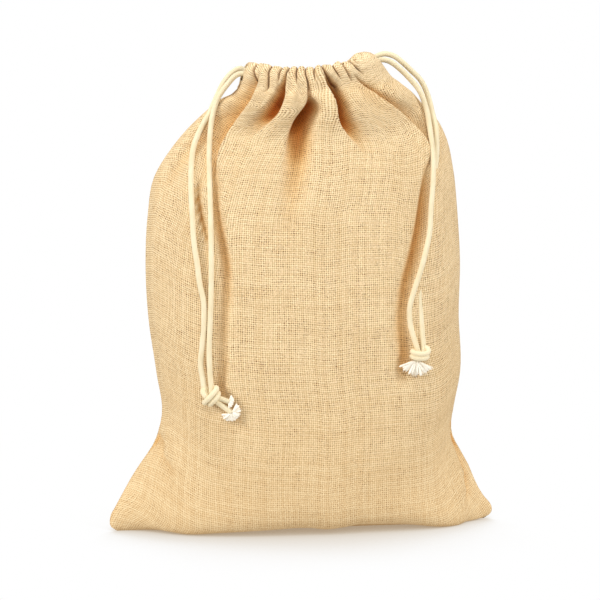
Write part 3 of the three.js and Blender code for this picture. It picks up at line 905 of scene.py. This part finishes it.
@dataclass
class BagCloth:
    """The cloth: folded at the bottom, sewn up both sides, and turned in at the top as a casing."""

    half_columns: int = 190
    # numbers of level lines, and how many rows of the grid lead up to each
    row_spans: tuple[tuple[int, int], ...] = ((3, 9), (14, 46), (18, 42), (26, 29))
    line_steps: int = 240
    gather_round: float = 0.4  # under 1 the gathers are full and the creases narrow
    crease_reach: float = 0.023
    crease_fade: float = 14.0
    casing_wide: float = 150.0
    slant_end: float = 4.0  # how far below the stitching the creases stop slanting
    rim_scallop: float = 4.8
    rim_level: float = 0.8  # the gathers' wave where the rim is neither raised nor lowered
    back_steps: float = 10.0  # how much further right the rim's steps are on the back
    thick: float = 1.4
    sew_gap: float = 0.02
    seam_ridge: float = 1.3
    seam_reach: float = 4.0
    seam_calm: float = 16.0  # how far from a seam the gathers are full
    # painted shade along the seams, and how wide it is
    seam_painted_shade: float = 0.35
    seam_line: float = 1.6
    hollow_deep: float = 24.0  # depth of a fold whose painted shade is full
    lean_back: float = 12.0
    slit_half: float = 7.0
    slit_low: float = 11.0
    slit_high: float = 27.0
    slit_deep: float = 5.0
    lift_from: float = 12.0
    lift_grow: float = 34.0
    lift_high: float = 80.0  # height where the lift of the base has faded out
    piece: bpy.types.Object = field(init=False)

    def level_table(self) -> tuple[np.ndarray, np.ndarray]:
        """Joins the level lines and the casing's lines into one table.

        Returns:
            The lines' places along the cloth, and a row of sizes for each.
        """
        rows = []
        for level in LEVELS:
            rows.append(LineSizes(
                *level[:SECTION_SIZES],
                out=STITCH_OUT * level.gather,
                swell=STITCH_SWELL,
                skew=level.skew,
                square=level.square,
                casing=0,
            ))
        top = LEVELS[-1]
        for line in CASING:
            rows.append(LineSizes(
                mid=top.mid + line.rise,
                deep=CASING_DEEP,
                left_x=line.left_x,
                left_z=top.left_z + line.rise,
                right_x=line.right_x,
                right_z=top.right_z + line.rise,
                late=top.late,
                point=top.point,
                out=line.out,
                swell=line.swell,
                skew=CASING_SKEW,
                square=0,
                casing=1,
            ))
        path = np.array([(row.mid, row.deep + row.out) for row in rows], float)
        steps = np.linalg.norm(np.diff(path, axis=0), axis=1)
        return np.concatenate([[0], np.cumsum(steps)]), np.array(rows, float)

    def row_places(self, knots: np.ndarray) -> np.ndarray:
        """Spreads the rows of the grid along the cloth, closer where it is gathered."""
        spots, start = [np.array([0.0])], 0
        for last, count in self.row_spans:
            spots.append(np.linspace(knots[start], knots[last], count + 1)[1:])
            start = last
        return np.concatenate(spots)

    def gather_wave(self, share: np.ndarray, side: Side, drop: float) -> tuple[np.ndarray, np.ndarray]:
        """Gives the wave of the gathers along one half of a level line.

        Args:
            share: Shares of the way from the left seam to the right one.
            side: Front or back.
            drop: How far below the stitching the line is.

        Returns:
            0 in a full crease, up to about 1 on a gather's crest, and fading out below. Then how deep in a
            crease each point is.
        """
        gathers = FRONT_GATHERS if side is Side.FRONT else BACK_GATHERS
        edges = np.concatenate([[0], np.cumsum([gather.wide for gather in gathers])])
        edges = edges / edges[-1]
        slants = np.array([gather.slant for gather in gathers] + [0])
        below_rim = RIM_RISE + min(max(drop, -RIM_RISE), self.slant_end)
        edges = edges - slants * below_rim / self.casing_wide
        number = np.clip(np.searchsorted(edges, share, side="right") - 1, 0, len(gathers) - 1)
        part = np.clip((share - edges[number]) / (edges[number + 1] - edges[number]), 0, 1)
        creases = np.array([gather.crease for gather in gathers] + [SEAM_CREASE])
        runs = np.array([gather.run for gather in gathers] + [SEAM_RUN])
        creases = creases * soft_step((runs - drop) / self.crease_fade)
        near = soft_step(part)
        crease = creases[number] + (creases[number + 1] - creases[number]) * near
        middles = (edges[:-1] + edges[1:]) / 2
        full = np.interp(share, middles, [gather.full for gather in gathers])
        gap = np.minimum(part, 1 - part) * (edges[number + 1] - edges[number])
        wave = np.sin(np.pi / 2 * np.minimum(gap / self.crease_reach, 1)) ** self.gather_round
        fade = soft_step(1 - drop / SWELL_FADE)
        return full * (1 - crease * (1 - wave)) * fade, crease * (1 - wave) * fade

    def fold_shape(self, fold: Fold, x: np.ndarray, z: np.ndarray) -> tuple[np.ndarray, np.ndarray]:
        """Gives a fold's depth, and the lean of its steep edge, at places on the cloth.

        Args:
            fold: The fold.
            x: Places across.
            z: Heights.

        Returns:
            Depths inwards, and moves across.
        """
        run = np.array(fold.run, float)
        line = smooth_through(run[:, 1], run[:, [0, 2, 3]], z)
        offset = (x - line[:, 0]) / np.maximum(line[:, 2], 0.1)
        spread = np.minimum(np.abs(offset) / np.where(offset < 0, fold.left, fold.right), 1)
        within = (z > run[0, 1]) & (z < run[-1, 1])
        steep, way = (fold.left, 1) if fold.left < fold.right else (fold.right, -1)
        profile = (1 - spread ** np.where(offset * way > 0, fold.bow, 2)) ** 2
        away = -offset * way
        edge = soft_step(away / steep) * soft_step(1 - (away - steep) / self.lean_back)
        share = line[:, 1] / np.abs(run[:, 2]).max()
        lean = fold.over * way * share * edge
        return np.where(within, line[:, 1] * profile, 0), np.where(within, lean, 0)

    def section(self, sizes: LineSizes, side: Side) -> np.ndarray:
        """Draws one half of a level line, before it is folded and gathered.

        Args:
            sizes: The line's sizes.
            side: Front or back.

        Returns:
            Points in millimetres, from the left seam to the right one.
        """
        turn = np.linspace(0, np.pi, self.line_steps + 1)
        across, outwards = np.cos(turn), np.maximum(np.sin(turn), 0)
        on_left = across > 0
        boxy = np.where(on_left, sizes.point, sizes.point - sizes.square)
        half_wide = (sizes.left_x - sizes.right_x) / 2
        x = (sizes.left_x + sizes.right_x) / 2 + half_wide * bent(across, boxy)
        y = side.value * sizes.deep * bent(outwards, boxy)
        climb = np.abs(across) ** np.where(on_left, sizes.late, sizes.late - sizes.skew)
        steps = np.array(RIM_STEPS, float)
        stepped = np.interp(x - (self.back_steps if side is Side.BACK else 0), steps[:, 0], steps[:, 1])
        climb = np.where(on_left, climb, climb + (stepped - climb) * np.clip(sizes.casing, 0, 1))
        z = sizes.mid + (np.where(on_left, sizes.left_z, sizes.right_z) - sizes.mid) * climb
        return np.stack([x, y, z], axis=1)

    def half_line(self, sizes: LineSizes, side: Side, shares: np.ndarray) -> tuple[np.ndarray, ...]:
        """Places points along one half of a level line.

        Args:
            sizes: The line's sizes.
            side: Front or back.
            shares: Shares of the half line's length, from the left seam.

        Returns:
            Places in millimetres, places without the gathers, and the tones of their folds, creases and
            casing.
        """
        dense = self.section(sizes, side)
        length = np.concatenate([[0], np.cumsum(np.linalg.norm(np.diff(dense, axis=0), axis=1))])
        spots = [np.interp(shares * length[-1], length, dense[:, axis]) for axis in range(3)]
        places = np.stack(spots, axis=1)
        along = np.gradient(places, axis=0)[:, :2] * side.value
        normal = np.stack([-along[:, 1], along[:, 0]], axis=1)
        normal /= np.maximum(np.linalg.norm(normal, axis=1, keepdims=True), 1e-9)
        wave, creased = self.gather_wave(shares, side, LEVELS[-1].mid - sizes.mid)
        from_seam = np.minimum(shares, 1 - shares) * length[-1]
        gathered = (sizes.out + sizes.swell * wave) * soft_step(from_seam / self.seam_calm)
        push = self.seam_ridge * np.exp(-((from_seam / self.seam_reach) ** 2))
        hollow, lean = np.zeros(len(shares)), np.zeros(len(shares))
        for fold in FRONT_FOLDS if side is Side.FRONT else BACK_FOLDS:
            depth, move = self.fold_shape(fold, places[:, 0], places[:, 2])
            push -= depth
            lean += move
            # the folds' depth also sets their painted shade
            hollow += np.maximum(depth, 0) / self.hollow_deep * fold.tone
        # painted shade along the seams
        hollow += self.seam_painted_shade * np.exp(-((from_seam / self.seam_line) ** 2))
        if side is Side.FRONT:
            places[:, 2] += self.base_lift(places)
        plain = places.copy()
        plain[:, :2] += normal * push[:, None]
        places[:, :2] += normal * (gathered + push)[:, None]
        places[:, 0] += lean
        rise = np.clip((sizes.mid - LEVELS[-1].mid) / RIM_RISE, 0, 1)
        places[:, 2] += self.rim_scallop * rise * (wave - self.rim_level)
        tones = np.stack([np.clip(hollow, 0, 1), creased, np.full(len(shares), rise)], axis=1)
        return places, plain, tones

    def base_lift(self, places: np.ndarray) -> np.ndarray:
        """Says how far the front edge of the base stands off the floor at places on the cloth."""
        knots = np.array(BASE_LIFT, float)
        lift = smooth_through(knots[:, 0], knots[:, 1:], places[:, 0])[:, 0]
        forward = soft_step((-places[:, 1] - self.lift_from) / self.lift_grow)
        return lift * forward * soft_step(1 - places[:, 2] / self.lift_high)

    def halves(self) -> dict[Side, tuple[np.ndarray, np.ndarray, np.ndarray]]:
        """Places all points of the cloth.

        Returns:
            For the front and the back: places by row and column, flat places by row and column, both in
            millimetres, and the tones of their folds, creases and casing.
        """
        knots, table = self.level_table()
        sizes = smooth_through(knots, table, self.row_places(knots))
        deep = LineSizes._fields.index("deep")
        sizes[:, deep] = np.maximum(sizes[:, deep], 0)
        shares = np.linspace(0, 1, self.half_columns + 1)
        made = {}
        for side in Side:
            lines = [self.half_line(LineSizes(*line), side, shares) for line in sizes]
            made[side] = [np.array(part) for part in zip(*lines)]
        ends = [0, self.half_columns]
        seams = (made[Side.FRONT][0][:, ends] + made[Side.BACK][0][:, ends]) / 2
        seams[:, :, 1] = 0
        result = {}
        for side, (places, plain, tones) in made.items():
            places[:, ends] = seams
            places[0, :, 1] = 0
            places[:, :, 2] = np.maximum(places[:, :, 2], self.thick / 2)
            across = np.linalg.norm(np.diff(plain, axis=1), axis=2).cumsum(axis=1)
            across = np.pad(across, ((0, 0), (1, 0)))
            across -= across[:, [self.half_columns // 2]]
            upwards = np.linalg.norm(np.diff(plain, axis=0), axis=2).cumsum(axis=0)
            upwards = np.pad(upwards, ((1, 0), (0, 0)))
            result[side] = (places, np.stack([across, upwards], axis=2), tones)
        return result

    def open_slits(self, made: bmesh.types.BMesh) -> None:
        """Opens the casing's outer layer at both side seams, where the cords come out."""
        top = LEVELS[-1]
        right_z = top.mid + (top.right_z - top.mid) * RIM_STEPS[-1][1]
        taken = []
        for face in made.faces:
            spot = face.calc_center_median() / MM
            seam_x, seam_z = (SLIT_ROW.left_x, top.left_z) if spot.x < 0 else (SLIT_ROW.right_x, right_z)
            outer = abs(spot.x) > abs(seam_x) - self.slit_deep
            if outer and abs(spot.y) < self.slit_half and self.slit_low < spot.z - seam_z < self.slit_high:
                taken.append(face)
        bmesh.ops.delete(made, geom=taken, context="FACES")

    def build(self, material: bpy.types.Material) -> bpy.types.Object:
        """Makes the cloth as one thin sheet.

        Args:
            material: The jute finish.

        Returns:
            The piece.
        """
        parts = []
        for places, flats, tones in self.halves().values():

            def place(column: np.ndarray, row: np.ndarray) -> tuple[np.ndarray, np.ndarray, np.ndarray]:
                """Looks up places, flat coordinates and tones by column and row."""
                return places[row, column] * MM, flats[row, column] * MM, tones[row, column]

            parts.append(shaped_grid(places.shape[1] - 1, places.shape[0] - 1, CLOTH_UV, place))
        made = joined(parts)
        bmesh.ops.remove_doubles(made, verts=made.verts, dist=self.sew_gap * MM)
        bmesh.ops.recalc_face_normals(made, faces=made.faces)
        self.open_slits(made)
        self.piece = finish_mesh("jute_cloth", made, material)
        wall = self.piece.modifiers.new("thickness", "SOLIDIFY")
        wall.thickness = self.thick * MM
        wall.offset = 0
        return self.piece

    def dress(self) -> None:
        """Ties the cloth to its solid."""
        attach(self.piece, BODY)
        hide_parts("bag_cloth")


def cord_line(route: Sequence[Place], spacing: float) -> np.ndarray:
    """Draws a smooth line through the points of a route.

    Args:
        route: Points in millimetres.
        spacing: Distance between the line's points.

    Returns:
        Points along the line, evenly spaced.
    """
    points = np.array(route, float)
    chords = np.linalg.norm(np.diff(points, axis=0), axis=1) ** 0.5
    knots = np.concatenate([[0], np.cumsum(chords)])
    dense = smooth_through(knots, points, np.linspace(0, knots[-1], LINE_DETAIL * len(points)))
    length = np.concatenate([[0], np.cumsum(np.linalg.norm(np.diff(dense, axis=0), axis=1))])
    even = np.linspace(0, length[-1], max(2, round(length[-1] / spacing)) + 1)
    return np.stack([np.interp(even, length, dense[:, axis]) for axis in range(3)], axis=1)


def tube(line: np.ndarray, radius: np.ndarray, sides: int) -> bmesh.types.BMesh:
    """Makes a closed tube along a line.

    Args:
        line: Points in millimetres.
        radius: Radius at each point.
        sides: Faces round the tube.

    Returns:
        The tube, with UVs round and along it in metres.
    """
    along = np.gradient(line, axis=0)
    along /= np.linalg.norm(along, axis=1, keepdims=True)
    start = Vector(along[0]).orthogonal().normalized()
    sideways = [np.array(start)]
    for direction in along[1:]:
        kept = sideways[-1] - direction * np.dot(sideways[-1], direction)
        sideways.append(kept / np.linalg.norm(kept))
    first = np.array(sideways)
    second = np.cross(along, first)
    length = np.concatenate([[0], np.cumsum(np.linalg.norm(np.diff(line, axis=0), axis=1))])

    def place(column: np.ndarray, row: np.ndarray) -> tuple[np.ndarray, np.ndarray, np.ndarray]:
        """Puts each column round the line at its row."""
        turn = (column % sides) * 2 * np.pi / sides
        ring = np.cos(turn)[:, None] * first[row] + np.sin(turn)[:, None] * second[row]
        spots = line[row] + ring * radius[row][:, None]
        flats = np.stack([column * 2 * np.pi / sides * radius.max(), length[row]], axis=1)
        return spots * MM, flats * MM, np.zeros((len(row), 3))

    made = shaped_grid(sides, len(line) - 1, CORD_UV, place)
    bmesh.ops.remove_doubles(made, verts=made.verts, dist=WELD)
    bmesh.ops.holes_fill(made, edges=made.edges, sides=sides)
    bmesh.ops.recalc_face_normals(made, faces=made.faces)
    return made


def joined(parts: Sequence[bmesh.types.BMesh]) -> bmesh.types.BMesh:
    """Joins several shapes into the first of them.

    Args:
        parts: The shapes, of which the others are freed.

    Returns:
        The first, with all faces.
    """
    whole = parts[0]
    for part in parts[1:]:
        spare = bpy.data.meshes.new("spare")
        part.to_mesh(spare)
        part.free()
        whole.from_mesh(spare)
        bpy.data.meshes.remove(spare)
    return whole


@dataclass
class Cord:
    """One free end of a cotton drawcord, from the casing to its knot."""

    node: str
    diameter: float = 5.4
    sides: int = 14
    spacing: float = 2.0
    piece: bpy.types.Object = field(init=False)
    line: np.ndarray = field(init=False)

    def build(self, material: bpy.types.Material) -> bpy.types.Object:
        """Makes the cord as a round tube along its route.

        Args:
            material: The cotton finish.

        Returns:
            The piece.
        """
        self.line = cord_line(CORD_ROUTES[self.node], self.spacing)
        radius = np.full(len(self.line), self.diameter / 2)
        self.piece = finish_mesh(f"braided_{self.node}", tube(self.line, radius, self.sides), material)
        return self.piece

    def dress(self, carried: Sequence[bpy.types.Object]) -> None:
        """Ties the cord to its solid.

        Args:
            carried: The knot and frayed ends on it; not used.
        """
        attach(self.piece, BODY)
        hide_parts(self.node)


@dataclass
class Knot:
    """A knot in a pair of cords: the bands that show of it, each with its ends tucked behind the others."""

    node: str
    at: Place
    bands: tuple[tuple[Place, ...], ...]
    diameter: float = 5.2
    sides: int = 14
    spacing: float = 0.8
    piece: bpy.types.Object = field(init=False)

    def build(self, material: bpy.types.Material) -> bpy.types.Object:
        """Makes the knot from tubes.

        Args:
            material: The cotton finish.

        Returns:
            The piece.
        """
        parts = []
        for band in self.bands:
            line = cord_line(band, self.spacing) + np.array(self.at)
            parts.append(tube(line, np.full(len(line), self.diameter / 2), self.sides))
        self.piece = finish_mesh(f"tied_{self.node}", joined(parts), material)
        return self.piece

    def dress(self) -> None:
        """Ties the knot to its solid."""
        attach(self.piece, BODY)
        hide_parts(self.node)


@dataclass
class Tuft:
    """A frayed cord end: thick yarns that fan out of it, with fine loose fibres between them."""

    node: str
    start: Place
    end: Place
    heading: float
    spread: float
    reach: float
    yarns: int
    seed: int
    yarn_thick: float = 2.0
    fibre_thick: float = 0.35
    cord_thick: float = 5.0
    cord_spacing: float = 1.0
    cord_sides: int = 14
    yarn_steps: int = 10
    yarn_sides: int = 8
    thick_range: tuple[float, float] = (0.85, 1.15)
    yarn_lengths: tuple[float, float] = (0.85, 1.0)
    fibre_lengths: tuple[float, float] = (0.7, 1.12)
    fibres_each: int = 3
    fibre_fan: float = 0.55
    root_wide: float = 3.4
    root_deep: float = 1.2
    bow_range: tuple[float, float] = (0.5, 2.2)
    curl_beside: float = 1.0
    curl_out: tuple[float, float] = (-0.6, 1.4)
    root_share: float = 0.75
    swell: float = 0.5
    tip_long: float = 0.2
    tip_blunt: float = 0.85
    piece: bpy.types.Object = field(init=False)

    def yarn(
        self, draw: np.random.Generator, share: float, thick: float, length: float,
    ) -> bmesh.types.BMesh:
        """Makes one yarn of the fan.

        Args:
            draw: Seeded numbers for its bends.
            share: Its place in the fan, from -0.5 to 0.5.
            thick: Its thickness.
            length: Its length.

        Returns:
            A bent tube that swells towards its open end.
        """
        turn = math.radians(self.heading + self.spread * share)
        out = np.array([0.0, -1.0, 0.0])
        along = np.array([math.cos(turn), 0.0, math.sin(turn)])
        beside = np.array([-math.sin(turn), 0.0, math.cos(turn)])
        middle = math.radians(self.heading)
        across = np.array([-math.sin(middle), 0.0, math.cos(middle)])
        depth = out * draw.uniform(-self.root_deep, self.root_deep)
        root = np.array(self.end) + across * share * self.root_wide + depth
        steps = np.linspace(0, 1, self.yarn_steps + 1)[:, None]
        bow = out * draw.uniform(*self.bow_range) * np.sin(np.pi * steps)
        sideways = beside * draw.uniform(-self.curl_beside, self.curl_beside)
        curl = (sideways + out * draw.uniform(*self.curl_out)) * steps ** 2
        line = root + along * length * steps + bow + curl
        opened = self.root_share + self.swell * steps[:, 0]
        tip = np.clip((steps[:, 0] - (1 - self.tip_long)) / self.tip_long, 0, 1)
        blunt = np.sqrt(1 - self.tip_blunt * tip ** 2)
        return tube(line, thick / 2 * opened * blunt, self.yarn_sides)

    def build(self, cotton: bpy.types.Material, fray: bpy.types.Material) -> bpy.types.Object:
        """Makes the end of the cord with its yarns.

        Args:
            cotton: The cord's finish.
            fray: The frayed yarns' finish.

        Returns:
            The piece.
        """
        draw = np.random.default_rng(self.seed)
        stub = cord_line((self.start, self.end), self.cord_spacing)
        whole = tube(stub, np.full(len(stub), self.cord_thick / 2), self.cord_sides)
        for face in whole.faces:
            face.material_index = 1
        parts = [whole]
        for number in range(self.yarns):
            share = number / (self.yarns - 1) - 0.5
            thick = self.yarn_thick * draw.uniform(*self.thick_range)
            length = self.reach * draw.uniform(*self.yarn_lengths)
            parts.append(self.yarn(draw, share, thick, length))
        for _ in range(self.yarns * self.fibres_each):
            share = draw.uniform(-self.fibre_fan, self.fibre_fan)
            length = self.reach * draw.uniform(*self.fibre_lengths)
            parts.append(self.yarn(draw, share, self.fibre_thick, length))
        self.piece = finish_mesh(f"frayed_{self.node}", joined(parts), fray)
        self.piece.data.materials.append(cotton)
        return self.piece

    def dress(self) -> None:
        """Ties the frayed end to its solid."""
        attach(self.piece, BODY)
        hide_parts(self.node)


@dataclass
class TiedEnds:
    """The ends of cord at one side seam, with the knot that ties them and its frayed ends."""

    knot: Knot
    tufts: tuple[Tuft, ...]
    cords: tuple[Cord, ...]

    def build(self, cotton: bpy.types.Material, fray: bpy.types.Material) -> None:
        """Makes the knot, the frayed ends and the cords.

        Args:
            cotton: The cord's finish.
            fray: The frayed yarns' finish.
        """
        self.knot.build(cotton)
        for tuft in self.tufts:
            tuft.build(cotton, fray)
        for cord in self.cords:
            cord.build(cotton)

    def dress(self) -> None:
        """Ties all pieces to their solids."""
        tied = (self.knot, *self.tufts)
        for part in tied:
            part.dress()
        for cord in self.cords:
            cord.dress([part.piece for part in tied] if cord is self.cords[0] else [])

    def pieces(self) -> list[bpy.types.Object]:
        """Lists the pieces in the order in which they are built."""
        return [part.piece for part in (self.knot, *self.tufts, *self.cords)]


def left_ends() -> TiedEnds:
    """Sets out the ends at the left seam, with both frayed ends pointing right."""
    return TiedEnds(
        knot=Knot("knot_left", at=(-99.5, -62.5, 142.2), bands=LEFT_BANDS),
        tufts=(
            Tuft(
                "tuft_left_upper", start=(-94, -63.5, 141), end=(-81.6, -64.4, 136.4),
                heading=-12, spread=130, reach=5, yarns=11, seed=3, yarn_thick=1.8,
            ),
            Tuft(
                "tuft_left_lower", start=(-95, -63.5, 137.5), end=(-79, -64.6, 125.8),
                heading=-50, spread=235, reach=8.6, yarns=22, seed=5, yarn_thick=1.8,
            ),
        ),
        cords=(Cord("cord_left_front"), Cord("cord_left_back")),
    )


def right_ends() -> TiedEnds:
    """Sets out the ends at the right seam, with one frayed end that hangs down."""
    return TiedEnds(
        knot=Knot("knot_right", at=(107.6, -59, 178.4), bands=RIGHT_BANDS),
        tufts=(
            Tuft(
                "tuft_right", start=(106.5, -59.5, 176), end=(103.4, -61.2, 171.6),
                heading=-95, spread=132, reach=14.8, yarns=21, seed=8, yarn_thick=1.9, root_wide=6.5,
            ),
        ),
        cords=(Cord("cord_right_front"), Cord("cord_right_back")),
    )


@dataclass(frozen=True)
class SoftLight:
    """A large soft lamp that is aimed at the bag."""

    name: str
    place: Place
    size: float
    power: float

    def build(self, aim: Vector) -> None:
        """Makes the lamp.

        Args:
            aim: Where it points.
        """
        lamp = bpy.data.lights.new(self.name, "AREA")
        lamp.shape = "DISK"
        lamp.size = self.size
        lamp.energy = self.power
        holder = bpy.data.objects.new(self.name, lamp)
        holder.location = self.place
        holder.rotation_euler = (aim - Vector(self.place)).to_track_quat("-Z", "Y").to_euler()
        bpy.context.scene.collection.objects.link(holder)


@dataclass
class Studio:
    """A pale floor, soft light from both sides, and the camera."""

    azimuth: float = -9.0
    elevation: float = 4.8
    distance: float = 1.78
    aim: Place = (-0.002, 0.0, 0.228)
    lens: float = 106.8
    sensor: float = 36.0
    floor_half: float = 0.9
    floor_plain: float = 0.3
    shade_reach: float = 0.5
    shade_samples: int = 16
    # shares of open sky over the floor, and how bright the floor is there
    shade_stops: tuple[tuple[float, float], ...] = (
        (0.0, 0.3), (0.08, 0.45), (0.2, 0.62), (0.475, 0.71), (0.61, 0.79), (0.7, 0.915), (0.78, 1.0),
    )
    shade_powers: tuple[float, float, float] = (0.75, 1.0, 1.35)
    even_light: float = 0.42
    lamps: tuple[SoftLight, ...] = (
        SoftLight("lamp_front", (-0.3, -2.1, 1.5), 1.0, 17.5),
        SoftLight("lamp_left", (-2.1, -0.9, 1.0), 1.0, 31),
        SoftLight("lamp_right", (2.1, -0.9, 1.1), 1.0, 26),
        SoftLight("lamp_top", (0.0, -0.3, 2.4), 1.4, 18),
    )

    def camera(self) -> None:
        """Sets the camera at the viewing angle."""
        turn, rise = math.radians(self.azimuth), math.radians(self.elevation)
        away = Vector((math.sin(turn) * math.cos(rise), -math.cos(turn) * math.cos(rise), math.sin(rise)))
        view = bpy.data.cameras.new("camera")
        view.lens = self.lens
        view.sensor_width = self.sensor
        holder = bpy.data.objects.new("camera", view)
        holder.location = Vector(self.aim) + away * self.distance
        holder.rotation_euler = (-away).to_track_quat("-Z", "Y").to_euler()
        bpy.context.scene.collection.objects.link(holder)
        bpy.context.scene.camera = holder

    def floor(self) -> None:
        """Lays the floor, which is no part of the bag. It glows, with a painted shadow that is darker where
        the bag hides the sky.
        """
        made = bmesh.new()
        bmesh.ops.create_grid(made, x_segments=2, y_segments=2, size=self.floor_half)
        glow_with_painted_shadow = bpy.data.materials.new("floor_paper")
        glow_with_painted_shadow.use_nodes = True
        shader = glow_with_painted_shadow.node_tree.nodes["Principled BSDF"]
        shader.inputs["Base Color"].default_value = (0, 0, 0, 1)
        shader.inputs["Specular IOR Level"].default_value = 0
        shader.inputs["Emission Strength"].default_value = 1
        graph = Graph(glow_with_painted_shadow.node_tree)
        spot = graph.node("ShaderNodeTexCoord", {}).outputs["Object"]
        away = graph.node("ShaderNodeVectorMath", {0: spot}, operation="LENGTH").outputs["Value"]
        feeds = {"Distance": self.shade_reach}
        open_sky = graph.node("ShaderNodeAmbientOcclusion", feeds, samples=self.shade_samples)
        ramp = graph.node("ShaderNodeValToRGB", {0: open_sky.outputs["AO"]})
        stops = ramp.color_ramp.elements
        while len(stops) < len(self.shade_stops):
            stops.new(1.0)
        for stop, (at, light) in zip(stops, self.shade_stops):
            stop.position = at
            stop.color = (light, light, light, 1)
        # the painted shadow is warm
        warm_painted_shadow = [graph.math("POWER", ramp.outputs[0], power) for power in self.shade_powers]
        graph.join(shader.inputs["Emission Color"], graph.vector(*warm_painted_shadow))
        graph.join(shader.inputs["Alpha"], graph.span(away, self.floor_plain, self.floor_half, 1.0, 0.0))
        finish_mesh("floor", made, glow_with_painted_shadow)

    def light(self) -> None:
        """Sets the lamps and the even white surroundings."""
        for lamp in self.lamps:
            lamp.build(Vector(self.aim))
        world = bpy.data.worlds.new("surroundings")
        world.use_nodes = True
        graph = Graph(world.node_tree)
        even = graph.node("ShaderNodeBackground", {"Color": (1, 1, 1, 1), "Strength": self.even_light})
        white = graph.node("ShaderNodeBackground", {"Color": (1, 1, 1, 1), "Strength": 1.0})
        seen = graph.node("ShaderNodeLightPath", {}).outputs["Is Camera Ray"]
        shown = graph.node("ShaderNodeMixShader", {0: seen, 1: even.outputs[0], 2: white.outputs[0]})
        graph.join(world.node_tree.nodes["World Output"].inputs["Surface"], shown.outputs[0])
        bpy.context.scene.world = world
        bpy.context.scene.view_settings.view_transform = "Standard"


def main() -> None:
    """Builds the bag piece by piece and logs how many faces each one has."""
    logging.basicConfig(level=logging.INFO, format="%(name)s: %(message)s")
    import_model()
    studio = Studio()
    studio.camera()
    studio.floor()
    studio.light()
    fibre = spun_fibre()
    cotton = CORD_COTTON.material(fibre)
    fray = FRAYED_COTTON.material(fibre)
    for ends in (left_ends(), right_ends()):
        ends.build(cotton, fray)
        ends.dress()
        for piece in ends.pieces():
            LOG.info("%s: %d faces", piece.name, len(piece.data.polygons))
    cloth = BagCloth()
    cloth.build(JuteFinish().material(PlainWeave().group()))
    cloth.dress()
    LOG.info("%s: %d faces", cloth.piece.name, len(cloth.piece.data.polygons))


if __name__ == "__main__":
    main()
